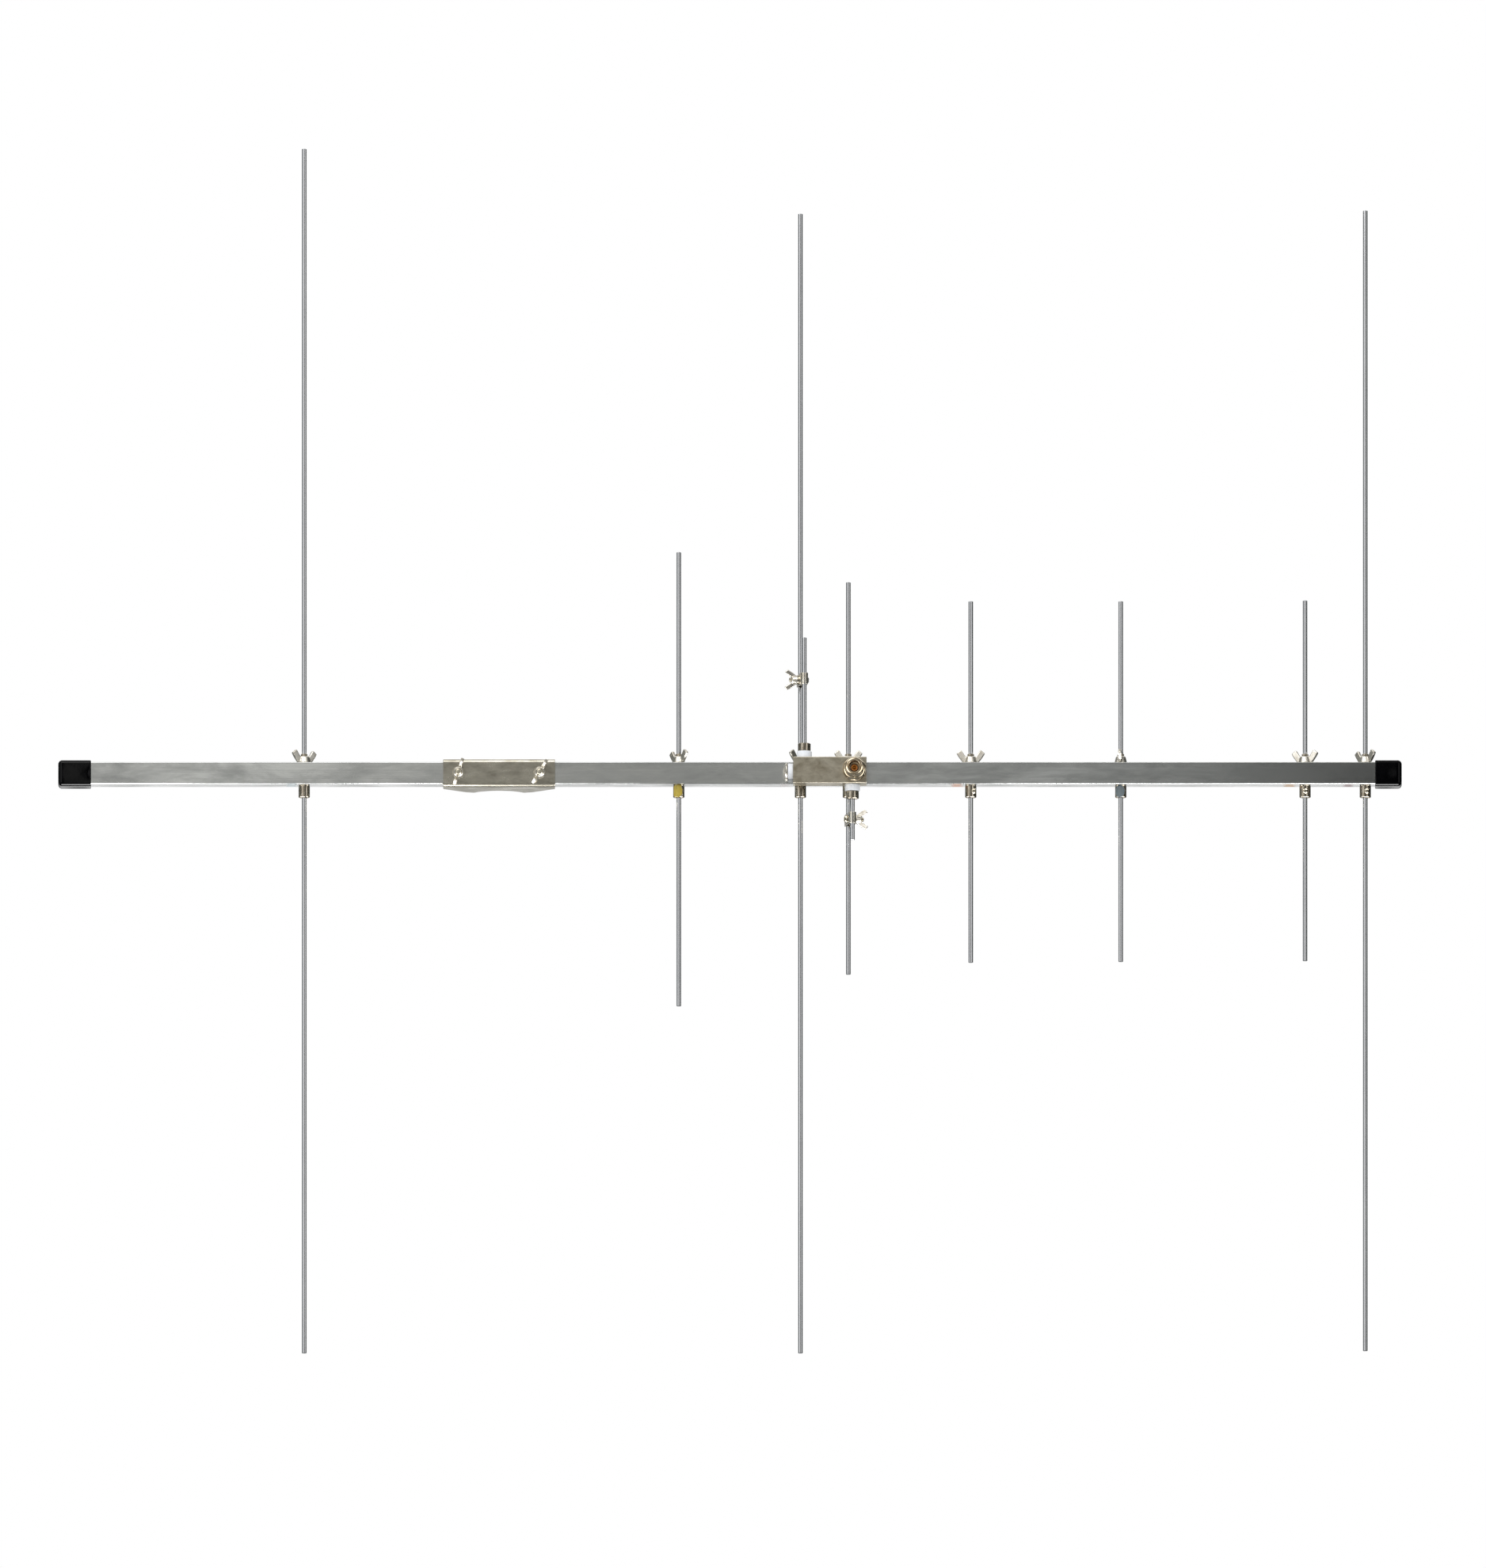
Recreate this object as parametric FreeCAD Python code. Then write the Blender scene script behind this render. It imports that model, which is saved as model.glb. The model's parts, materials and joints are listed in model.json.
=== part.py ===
import FreeCAD, Part
import itertools
import math
import os

# Dual band yagi antenna for the 2 m and 70 cm bands, in millimetres.
# The boom runs along X with its front towards +X, the rods and the mast stand along Z,
# and the feed box and its socket face -Y. The origin is on the mast's axis at the
# height of the boom's axis.

V = FreeCAD.Vector

# Boom: square extruded tube, and how far it runs past its first and last elements.
boom_side = 19.0
boom_wall = 1.3
boom_corner_r = 0.8
boom_tail_overhang = 209.5
boom_nose_overhang = 29.6

# Soft caps pulled over the boom's ends.
end_cap_wall = 1.7
end_cap_corner_r = 3.2
tail_cap_length = 28.2
nose_cap_length = 22.9

# Radial play left round every rod, neck, screw and stud, and between sheet and tube.
fit_gap = 0.05
hole_play = 0.1

# Mast and the folded saddle that grips it.
mast_d = 48.3
saddle_gap = 0.25
saddle_standoff = 4.5
bracket_length = 96.0
bracket_sheet = 2.0
bracket_side_gap = 0.5
flange_end_depth = 15.5
flange_shoulder_x = 29.0
flange_shoulder_depth = 34.0
flange_crest_x = 20.0
flange_crest_depth = 38.6
shoulder_r = 9.0
crest_r = 1.2
flange_corner_r = 3.0

# U-bolt round the back of the mast.
u_bolt_d = 6.0
u_bolt_pitch = 69.8
u_bolt_end_r = 2.0
left_mast_nut_turn = 18.0
right_mast_nut_turn = 31.0

# Large wing nut, on the element bushes and on the U-bolt.
nut_base_d = 10.6
nut_top_d = 8.4
nut_hub_h = 6.5
nut_span = 24.5
nut_height = 12.0
nut_blade_w = 5.2
nut_blade_t = 2.8
stud_end = 1.7

# Small wing nut, on the screws of the two straps.
small_nut_base_d = 8.0
small_nut_top_d = 6.4
small_nut_hub_h = 5.4
small_nut_span = 18.0
small_nut_height = 11.3
small_nut_blade_w = 3.8
small_nut_blade_t = 2.2

# Lean of a wing from its nut's axis, how far its edges bow outward, the round of its tip
# and the bevel of its rim.
wing_lean = 39.0
wing_bow = 0.7
wing_tip_r = 1.0
wing_bevel = 0.4

# Rods and the turned bush that carries each one through the boom.
rod_d = 4.0
rod_bevel = 0.3
bush_neck_d = 6.0
bush_collar_d = 9.7
bush_collar_h = 10.7
bush_bevel = 0.5

# Round-headed screw that pinches the rod inside each bush's collar.
pinch_screw_d = 2.5
pinch_head_d = 4.4
pinch_head_h = 1.5
pinch_seat_depth = 0.5

# How far each rod stands above and hangs below the boom's axis.
reflector_2m_above = 542.8
reflector_2m_below = 502.2
reflector_70cm_above = 192.8
reflector_70cm_below = 201.1
driven_2m_above = 486.4
driven_2m_below = 502.2
driven_70cm_above = 166.7
driven_70cm_below = 173.6
first_director_above = 150.2
first_director_below = 163.3
second_director_above = 150.2
second_director_below = 162.6
third_director_above = 150.9
third_director_below = 161.9
director_2m_above = 489.2
director_2m_below = 500.2

# Each element: step along the boom from the one before, the first one's from the mast,
# rod above and below the boom's axis, turn of its wing nut and turn of its pinch screw,
# both about the rod in degrees.
element_steps = {
    "reflector_2m": (-167.3, reflector_2m_above, reflector_2m_below, 32.0, 200.0),
    "reflector_70cm": (321.6, reflector_70cm_above, reflector_70cm_below, -53.0, 150.0),
    "driven_2m": (104.4, driven_2m_above, driven_2m_below, 40.0, 170.0),
    "driven_70cm": (41.1, driven_70cm_above, driven_70cm_below, 0.0, 190.0),
    "director_70cm_first": (105.1, first_director_above, first_director_below, 0.0, 38.0),
    "director_70cm_second": (128.8, second_director_above, second_director_below, 85.0, 180.0),
    "director_70cm_third": (158.2, third_director_above, third_director_below, -23.0, 4.0),
    "director_2m": (51.7, director_2m_above, director_2m_below, -46.0, 18.0),
}

# Feed box: folded sheet tray, closed by a back plate that lies on the boom. Its ends
# stand clear of the 2 m matching rod and of the socket by their own amounts.
box_tail_room = 9.5
box_nose_room = 10.5
box_height = 22.5
box_depth = 20.0
box_sheet = 1.0
box_edge_r = 0.5
box_screw_d = 3.0
box_screw_head_d = 5.6
box_screw_head_h = 2.0
box_screw_offset = 14.0
box_screw_pitch = 16.0
box_screw_reach = 1.5

# Insulating bushes in the box's walls and the plated collars on the matching rods.
insulator_d = 13.0
insulator_h = 6.0
spigot_d = 8.0
spigot_inside = 1.8
match_collar_d = 11.0
match_collar_h = 6.8
match_rod_inside = 1.0
match_offset_2m = 3.3
match_offset_70cm = 3.5
match_tip_2m = 116.0
match_tip_70cm = 59.8

# Shorting straps from each matching rod to its driven element.
strap_sheet = 1.2
strap_height = 9.7
strap_slit = 1.2
strap_z_2m = 80.5
strap_z_70cm = 40.3
strap_screw_d = 4.0
strap_head_d = 7.2
strap_head_h = 2.6
strap_washer_d = 8.6
strap_washer_t = 1.0
strap_screw_end = 1.8

# Insulated terminal on the box's tail end, which holds the feed strip.
terminal_bush_d = 13.4
terminal_bush_h = 4.8
terminal_head_d = 14.2
terminal_head_h = 3.8
terminal_rim_h = 1.4
terminal_stud_d = 4.0
terminal_stud_inside = 7.0
terminal_slot_depth = 4.0

# Feed strip and the two series capacitors inside the box.
strip_width = 4.0
strip_sheet = 1.0
strip_overrun = 3.5
capacitor_d = 6.4
capacitor_lead_d = 1.6
capacitor_lead_h = 0.9

# Coaxial socket with a 5/8 inch threaded barrel, on the box's front.
socket_offset = 1.7
socket_flange_d = 20.5
socket_flange_h = 2.4
socket_dome_h = 5.2
socket_barrel_d = 15.88
socket_length = 22.0
socket_mouth_bevel = 0.7
socket_bore_d = 9.0
socket_bore_depth = 11.0
socket_tail_d = 12.0
socket_tail_h = 5.8
socket_nut_flats = 15.0
socket_nut_h = 2.5
insert_d = 7.2
insert_seat_h = 3.0
contact_d = 3.0
contact_hole_d = 1.7
contact_hole_depth = 5.0
contact_slot_w = 0.4
contact_slot_depth = 4.2
contact_recess = 4.5
contact_pin_d = 2.0
contact_pin_past_strip = 1.4

# Places that follow from the sizes above.
element_x = dict(zip(element_steps, itertools.accumulate(step[0] for step in element_steps.values())))
boom_tail_x = element_x["reflector_2m"] - boom_tail_overhang
boom_nose_x = element_x["director_2m"] + boom_nose_overhang
match_x_2m = element_x["driven_2m"] + match_offset_2m
match_x_70cm = element_x["driven_70cm"] + match_offset_70cm
socket_x = match_x_70cm + socket_offset
box_left = match_x_2m - box_tail_room
box_right = socket_x + box_nose_room
saddle_r = mast_d / 2 + saddle_gap
boom_y = -(saddle_r + saddle_standoff + boom_side / 2)
boom_front_y = boom_y - boom_side / 2
boom_half = boom_side / 2
bracket_front_y = boom_front_y - bracket_sheet
box_front_y = boom_front_y - box_depth
match_y = boom_front_y - box_depth / 2
insulator_seat = box_height / 2
match_rod_start = insulator_seat - box_sheet - spigot_inside - match_rod_inside
stud_reach = nut_hub_h + stud_end

UP = V(0, 0, 1)
DOWN = V(0, 0, -1)
AHEAD = V(1, 0, 0)
ASTERN = V(-1, 0, 0)
FORWARD = V(0, -1, 0)
BACKWARD = V(0, 1, 0)


def save(name, shape):
    shape.exportStep("parts/" + name + ".step")


def aim(shape, at, axis, turn=0.0):
    # Turns a shape made along +Z about its own axis, then points it along axis at a place.
    spin = FreeCAD.Rotation(UP, turn)
    tilt = FreeCAD.Rotation(UP, axis)
    placed = shape.copy()
    placed.Placement = FreeCAD.Placement(at, tilt.multiply(spin)).multiply(shape.Placement)
    return placed


def rod(diameter, length, at, axis=UP):
    return Part.makeCylinder(diameter / 2, length, at, axis)


def turned(outline):
    # Solid of revolution about +Z from (radius, height) corners of its half section.
    corners = [V(radius, 0, height) for radius, height in outline]
    face = Part.Face(Part.makePolygon(corners + corners[:1]))
    return face.revolve(V(0, 0, 0), UP, 360)


def block(low, high):
    size = high.sub(low)
    return Part.makeBox(size.x, size.y, size.z, low)


def edges_where(shape, test):
    return [edge for edge in shape.Edges if test(edge)]


def runs_along(edge, axis):
    ends = [vertex.Point for vertex in edge.Vertexes]
    if len(ends) < 2:
        return False
    span = ends[1].sub(ends[0])
    return span.Length > 1e-6 and abs(span.normalize().dot(axis)) > 0.999


def stands_at(edge, x, y):
    centre = edge.BoundBox.Center
    return abs(centre.x - x) < 0.01 and abs(centre.y - y) < 0.01


def square_bar(low_x, high_x, side):
    half = side / 2
    return block(V(low_x, boom_y - half, -half), V(high_x, boom_y + half, half))


def make_boom():
    bar = square_bar(boom_tail_x, boom_nose_x, boom_side)
    long_edges = edges_where(bar, lambda edge: runs_along(edge, AHEAD))
    boom = bar.makeFillet(boom_corner_r, long_edges)
    boom = boom.cut(square_bar(boom_tail_x - 1, boom_nose_x + 1, boom_side - 2 * boom_wall))
    neck_hole = bush_neck_d + 2 * hole_play
    holes = [rod(neck_hole, boom_side + 2, V(x, boom_y, -boom_half - 1)) for x in element_x.values()]
    leg_hole = u_bolt_d + 2 * hole_play
    for x in (-u_bolt_pitch / 2, u_bolt_pitch / 2):
        holes.append(rod(leg_hole, boom_side + 2, V(x, boom_front_y - 1, 0), BACKWARD))
    for x in box_screw_places():
        holes.append(rod(box_screw_d + 2 * fit_gap, boom_wall + 1, V(x, boom_front_y - 0.5, 0), BACKWARD))
    return boom.cut(Part.makeCompound(holes))


def make_end_cap(end_x, length, outward):
    # Closed end lies one wall past the tube's end, the open end reaches back along the boom.
    outer_x = end_x + outward * end_cap_wall
    open_x = outer_x - outward * length
    side = boom_side + 2 * (end_cap_wall + fit_gap)
    bar = square_bar(min(outer_x, open_x), max(outer_x, open_x), side)

    def is_outside_edge(edge):
        centre_x = edge.BoundBox.Center.x
        return runs_along(edge, AHEAD) or abs(centre_x - outer_x) < 0.01

    cap = bar.makeFillet(end_cap_corner_r, edges_where(bar, is_outside_edge))
    past_open_x = open_x - outward
    hollow = square_bar(min(end_x, past_open_x), max(end_x, past_open_x), boom_side + 2 * fit_gap)
    hollow = hollow.makeFillet(boom_corner_r, edges_where(hollow, lambda edge: runs_along(edge, AHEAD)))
    return cap.cut(hollow)


def make_rod(length):
    r = rod_d / 2
    return turned([
        (0, 0), (r - rod_bevel, 0), (r, rod_bevel),
        (r, length - rod_bevel), (r - rod_bevel, length), (0, length),
    ])


def make_bush(screw_turn):
    # Collar under the boom and a threaded neck up through it, bored right through for the rod.
    collar_r = bush_collar_d / 2
    neck_r = bush_neck_d / 2
    bore_r = rod_d / 2 + fit_gap
    top = boom_side + stud_reach
    bush = turned([
        (bore_r, -bush_collar_h), (collar_r - bush_bevel, -bush_collar_h),
        (collar_r, -bush_collar_h + bush_bevel), (collar_r, -bush_bevel),
        (collar_r - bush_bevel, 0), (neck_r, 0),
        (neck_r, top - bush_bevel), (neck_r - bush_bevel, top), (bore_r, top),
    ])
    seat_r = collar_r - pinch_seat_depth
    middle = V(0, 0, -bush_collar_h / 2)
    seat = rod(pinch_head_d + 2 * fit_gap, collar_r, middle + FORWARD * seat_r, FORWARD)
    thread = rod(pinch_screw_d + 2 * fit_gap, collar_r, middle, FORWARD)
    bush = bush.cut(Part.makeCompound([seat, thread]))
    bush.rotate(V(0, 0, 0), UP, screw_turn)
    return bush


def dome(diameter, height, rim):
    # Disc with an upright rim and a spherical top.
    r = diameter / 2
    rise = height - rim
    sphere_r = (r * r + rise * rise) / (2 * rise)
    ball = Part.makeSphere(sphere_r, V(0, 0, height - sphere_r))
    return rod(diameter, height, V(0, 0, 0)).common(ball)


def screw_along_z(shank_d, shank_length, head_d, head_h):
    # Domed head above z = 0 and a plain shank below it.
    shank = rod(shank_d, shank_length, V(0, 0, -shank_length))
    return dome(head_d, head_h, head_h / 5).fuse(shank).removeSplitter()


def make_pinch_screw(screw_turn, x):
    seat_r = bush_collar_d / 2 - pinch_seat_depth
    shank = seat_r - rod_d / 2 - fit_gap
    screw = screw_along_z(pinch_screw_d, shank, pinch_head_d, pinch_head_h)
    outward = V(math.sin(math.radians(screw_turn)), -math.cos(math.radians(screw_turn)), 0)
    return aim(screw, V(x, boom_y, -boom_half - bush_collar_h / 2) + outward * seat_r, outward)


def wing(span, height, blade_w, blade_t, hub_h, root_x):
    # One blade leaning outward with its edges bowed, its end cut square, its root in the hub.
    lean = math.radians(wing_lean)
    along = V(math.sin(lean), 0, math.cos(lean))
    outward = V(math.cos(lean), 0, -math.sin(lean))
    outer_tip = V(span / 2, 0, height + outward.z * blade_w)
    inner_tip = outer_tip - outward * blade_w
    root = along * (-height / along.z)
    middle = root * 0.5 + outward * wing_bow
    face = Part.Face(Part.Wire([
        Part.makeLine(outer_tip, inner_tip),
        Part.Arc(inner_tip, inner_tip + middle, inner_tip + root).toShape(),
        Part.makeLine(inner_tip + root, outer_tip + root),
        Part.Arc(outer_tip + root, outer_tip + middle, outer_tip).toShape(),
    ]))
    blade = face.extrude(BACKWARD * blade_t)
    blade.translate(FORWARD * (blade_t / 2))
    tip_edges = edges_where(
        blade,
        lambda edge: runs_along(edge, BACKWARD) and edge.BoundBox.ZMax > outer_tip.z - 0.01,
    )
    blade = blade.makeFillet(wing_tip_r, tip_edges)
    rims = edges_where(
        blade,
        lambda edge: not runs_along(edge, BACKWARD) and edge.BoundBox.ZMax > 0.01,
    )
    blade = blade.makeChamfer(wing_bevel, rims)
    return blade.common(block(V(root_x, -blade_t, hub_h / 7), V(span, blade_t, height + 1)))


def make_wing_nut(thread_d, base_d, top_d, hub_h, span, height, blade_w, blade_t):
    thread_r = thread_d / 2 + fit_gap
    hub = turned([
        (0, 0), (base_d / 2, 0), (base_d / 2, hub_h / 6),
        (top_d / 2, hub_h * 0.85), (top_d / 2 - hub_h * 0.15, hub_h), (0, hub_h),
    ])
    root_x = (thread_r + top_d / 2) / 2
    blade = wing(span, height, blade_w, blade_t, hub_h, root_x)
    other = blade.copy()
    other.rotate(V(0, 0, 0), UP, 180)
    bore = rod(2 * thread_r, height + 2, V(0, 0, -1))
    return hub.fuse([blade, other]).cut(bore)


def make_mast_bracket():
    # Channel folded from sheet: web on the boom's front, flanges over and under it.
    inner_half = boom_half + bracket_side_gap
    outer_half = inner_half + bracket_sheet
    back_y = bracket_front_y + flange_crest_depth + 1
    half = bracket_length / 2
    outer = block(V(-half, bracket_front_y, -outer_half), V(half, back_y, outer_half))
    inner = block(V(-half - 1, boom_front_y, -inner_half), V(half + 1, back_y + 1, inner_half))

    def is_bend(edge, y):
        return runs_along(edge, AHEAD) and abs(edge.BoundBox.Center.y - y) < 0.01

    inside_r = boom_corner_r + bracket_side_gap
    outside_r = inside_r + bracket_sheet
    outer = outer.makeFillet(outside_r, edges_where(outer, lambda edge: is_bend(edge, bracket_front_y)))
    inner = inner.makeFillet(inside_r, edges_where(inner, lambda edge: is_bend(edge, boom_front_y)))
    channel = outer.cut(inner)
    legs = [
        rod(u_bolt_d + 2 * hole_play, bracket_sheet + 2, V(x, bracket_front_y - 1, 0), BACKWARD)
        for x in (-u_bolt_pitch / 2, u_bolt_pitch / 2)
    ]
    return channel.cut(Part.makeCompound(legs)).common(make_flange_plan(outer_half))


def make_flange_plan(outer_half):
    # Plan of the two flanges: sloping ends, rounded shoulders and the mast's notch.
    half = bracket_length / 2
    right = [
        (half, 0), (half, flange_end_depth),
        (flange_shoulder_x, flange_shoulder_depth), (flange_crest_x, flange_crest_depth),
    ]
    left = [(-x, depth) for x, depth in reversed(right)]
    height = 2 * outer_half + 2
    corners = [V(x, bracket_front_y + depth, -height / 2) for x, depth in right + left]
    plan = Part.Face(Part.makePolygon(corners + corners[:1])).extrude(UP * height)
    plan = plan.cut(rod(2 * saddle_r, height + 2, V(0, 0, -height / 2 - 1)))

    def uprights_near(x, depth):
        return edges_where(
            plan,
            lambda edge: runs_along(edge, UP) and stands_at(edge, x, bracket_front_y + depth),
        )

    shoulders = uprights_near(flange_shoulder_x, flange_shoulder_depth)
    shoulders += uprights_near(-flange_shoulder_x, flange_shoulder_depth)
    plan = plan.makeFillet(shoulder_r, shoulders)
    ends = uprights_near(half, flange_end_depth) + uprights_near(-half, flange_end_depth)
    plan = plan.makeFillet(flange_corner_r, ends)

    def is_crest(edge):
        centre = edge.BoundBox.Center
        on_notch = abs(math.hypot(centre.x, centre.y) - saddle_r) < 0.01
        return runs_along(edge, UP) and on_notch and abs(centre.x) > saddle_r / 4

    return plan.makeFillet(crest_r, edges_where(plan, is_crest))


def make_u_bolt():
    # Two straight legs and a half round bight that meets the back of the mast.
    bend_r = u_bolt_pitch / 2
    bend_y = saddle_r + u_bolt_d / 2 - bend_r
    end_y = bracket_front_y - stud_reach
    path = Part.Wire([
        Part.makeLine(V(-bend_r, end_y, 0), V(-bend_r, bend_y, 0)),
        Part.Arc(V(-bend_r, bend_y, 0), V(0, bend_y + bend_r, 0), V(bend_r, bend_y, 0)).toShape(),
        Part.makeLine(V(bend_r, bend_y, 0), V(bend_r, end_y, 0)),
    ])
    section = Part.Wire(Part.makeCircle(u_bolt_d / 2, V(-bend_r, end_y, 0), BACKWARD))
    bolt = path.makePipeShell([section], True, True)
    ends = edges_where(
        bolt,
        lambda edge: abs(edge.BoundBox.YMin - end_y) < 0.01 and edge.BoundBox.YLength < 0.01,
    )
    return bolt.makeFillet(u_bolt_end_r, ends)


def box_screw_places():
    first = match_x_2m + box_screw_offset
    return (first, first + box_screw_pitch)


def make_feed_box_tray():
    half = box_height / 2
    outer = block(V(box_left, box_front_y, -half), V(box_right, boom_front_y, half))
    folds = edges_where(outer, lambda edge: edge.BoundBox.YMin < boom_front_y - 0.01)
    tray = outer.makeFillet(box_edge_r, folds)
    hollow = block(
        V(box_left + box_sheet, box_front_y + box_sheet, -half + box_sheet),
        V(box_right - box_sheet, boom_front_y + 1, half - box_sheet),
    )
    spigot_hole = spigot_d + 2 * fit_gap
    holes = [
        hollow,
        rod(spigot_hole, box_sheet + 2, V(match_x_2m, match_y, half - box_sheet - 1)),
        rod(spigot_hole, box_sheet + 2, V(match_x_70cm, match_y, -half - 1)),
        rod(spigot_hole, box_sheet + 2, V(box_left - 1, match_y, 0), AHEAD),
        rod(socket_tail_d + 2 * fit_gap, box_sheet + 2, V(socket_x, box_front_y - 1, 0), BACKWARD),
    ]
    return tray.cut(Part.makeCompound(holes[:1])).cut(Part.makeCompound(holes[1:]))


def make_feed_box_back():
    inset = box_sheet + hole_play
    half = box_height / 2 - inset
    low = V(box_left + inset, boom_front_y - box_sheet, -half)
    high = V(box_right - inset, boom_front_y, half)
    holes = [
        rod(box_screw_d + 2 * fit_gap, box_sheet + 2, V(x, boom_front_y - box_sheet - 1, 0), BACKWARD)
        for x in box_screw_places()
    ]
    return block(low, high).cut(Part.makeCompound(holes))


def make_box_screws():
    reach = box_sheet + boom_wall + box_screw_reach
    screw = screw_along_z(box_screw_d, reach, box_screw_head_d, box_screw_head_h)
    seat_y = boom_front_y - box_sheet
    return Part.makeCompound([aim(screw, V(x, seat_y, 0), FORWARD) for x in box_screw_places()])


def make_insulator(flange_d, flange_h, bore_d):
    # Round-edged flange outside the box and a spigot through its wall.
    bore_r = bore_d / 2 + fit_gap
    edge = flange_h / 6
    r = flange_d / 2
    inside = box_sheet + spigot_inside
    return turned([
        (bore_r, -inside), (spigot_d / 2, -inside), (spigot_d / 2, 0),
        (r - edge, 0), (r, edge), (r, flange_h - edge), (r - edge, flange_h), (bore_r, flange_h),
    ])


def make_match_collar():
    bore_r = rod_d / 2 + fit_gap
    r = match_collar_d / 2
    h = match_collar_h
    return turned([
        (bore_r, 0), (r - bush_bevel, 0), (r, bush_bevel),
        (r, h - bush_bevel), (r - bush_bevel, h), (bore_r, h),
    ])


def make_match_set(band, x, tip, direction):
    # Insulator, collar, rod and capacitor of one matching rod, above or below the box.
    seat = V(x, match_y, 0) + direction * insulator_seat
    save("match_insulator_" + band, aim(make_insulator(insulator_d, insulator_h, rod_d), seat, direction))
    save("match_collar_" + band, aim(make_match_collar(), seat + direction * insulator_h, direction))
    start = V(x, match_y, 0) + direction * match_rod_start
    save("match_rod_" + band, aim(make_rod(tip - match_rod_start), start, direction))
    edge_of_strip = V(x, match_y, 0) + direction * (strip_width / 2)
    save("series_capacitor_" + band, aim(make_capacitor(), edge_of_strip, direction))


def make_capacitor():
    h = match_rod_start - strip_width / 2
    lead_r = capacitor_lead_d / 2
    r = capacitor_d / 2
    low = capacitor_lead_h
    high = h - capacitor_lead_h
    edge = (high - low) / 5
    return turned([
        (0, 0), (lead_r, 0), (lead_r, low), (r - edge, low), (r, low + edge),
        (r, high - edge), (r - edge, high), (lead_r, high), (lead_r, h), (0, h),
    ])


def make_strap_set(band, match_x, driven_x, z, nut_side):
    # Strap folded round the driven rod, its two ends meeting in front of the matching rod.
    rear = V(driven_x, boom_y, z)
    front = V(match_x, match_y, z)
    reach = front.sub(rear).Length
    inner_r = rod_d / 2 + fit_gap
    outer_r = inner_r + strap_sheet
    strap = stadium(reach, outer_r).cut(stadium(reach, inner_r))
    slit = block(
        V(reach, -strap_slit / 2, -strap_height),
        V(reach + 2 * outer_r, strap_slit / 2, strap_height),
    )
    hole = rod(strap_screw_d + 2 * hole_play, 4 * outer_r, V(reach / 2, -2 * outer_r, 0), BACKWARD)
    strap = strap.cut(Part.makeCompound([slit, hole]))
    heading = math.degrees(math.atan2(front.y - rear.y, front.x - rear.x))
    strap.rotate(V(0, 0, 0), UP, heading)
    strap.translate(rear)
    save("strap_" + band, strap)
    middle = (front + rear) * 0.5
    along = front.sub(rear).normalize()
    outward = along.cross(UP) * nut_side
    grip = 2 * outer_r + strap_washer_t + small_nut_hub_h + strap_screw_end
    screw = screw_along_z(strap_screw_d, grip, strap_head_d, strap_head_h)
    save("strap_screw_" + band, aim(screw, middle - outward * outer_r, outward * -1))
    washer = turned([
        (strap_screw_d / 2 + fit_gap, 0), (strap_washer_d / 2, 0),
        (strap_washer_d / 2, strap_washer_t), (strap_screw_d / 2 + fit_gap, strap_washer_t),
    ])
    save("strap_washer_" + band, aim(washer, middle + outward * outer_r, outward))
    nut = make_wing_nut(
        strap_screw_d, small_nut_base_d, small_nut_top_d, small_nut_hub_h,
        small_nut_span, small_nut_height, small_nut_blade_w, small_nut_blade_t,
    )
    seat = middle + outward * (outer_r + strap_washer_t)
    save("strap_wing_nut_" + band, aim(nut, seat, outward))


def stadium(length, radius):
    # Upright slab with round ends, the shape that a strip takes round two rods.
    corners = (V(0, -radius, 0), V(length, -radius, 0), V(length, radius, 0), V(0, radius, 0))
    outline = Part.Wire([
        Part.makeLine(corners[0], corners[1]),
        Part.Arc(corners[1], V(length + radius, 0, 0), corners[2]).toShape(),
        Part.makeLine(corners[2], corners[3]),
        Part.Arc(corners[3], V(-radius, 0, 0), corners[0]).toShape(),
    ])
    slab = Part.Face(outline).extrude(UP * strap_height)
    slab.translate(DOWN * (strap_height / 2))
    return slab


def make_terminal():
    # Domed head outside, stud through the insulating bush, slotted end inside for the strip.
    head = dome(terminal_head_d, terminal_head_h, terminal_rim_h)
    length = terminal_bush_h + box_sheet + terminal_stud_inside
    stud = rod(terminal_stud_d, length, V(0, 0, -length))
    slot = block(
        V(-terminal_stud_d, -strip_sheet / 2, -length - 1),
        V(terminal_stud_d, strip_sheet / 2, -length + terminal_slot_depth),
    )
    return head.fuse(stud).removeSplitter().cut(slot)


def make_feed_strip():
    start_x = box_left + box_sheet + terminal_stud_inside - terminal_slot_depth
    half = strip_width / 2
    strip = block(
        V(start_x, match_y - strip_sheet / 2, -half),
        V(socket_x + strip_overrun, match_y + strip_sheet / 2, half),
    )
    hole_foot = V(socket_x, match_y - strip_sheet / 2 - 1, 0)
    hole = rod(contact_pin_d + 2 * fit_gap, strip_sheet + 2, hole_foot, BACKWARD)
    return strip.cut(hole)


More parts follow.
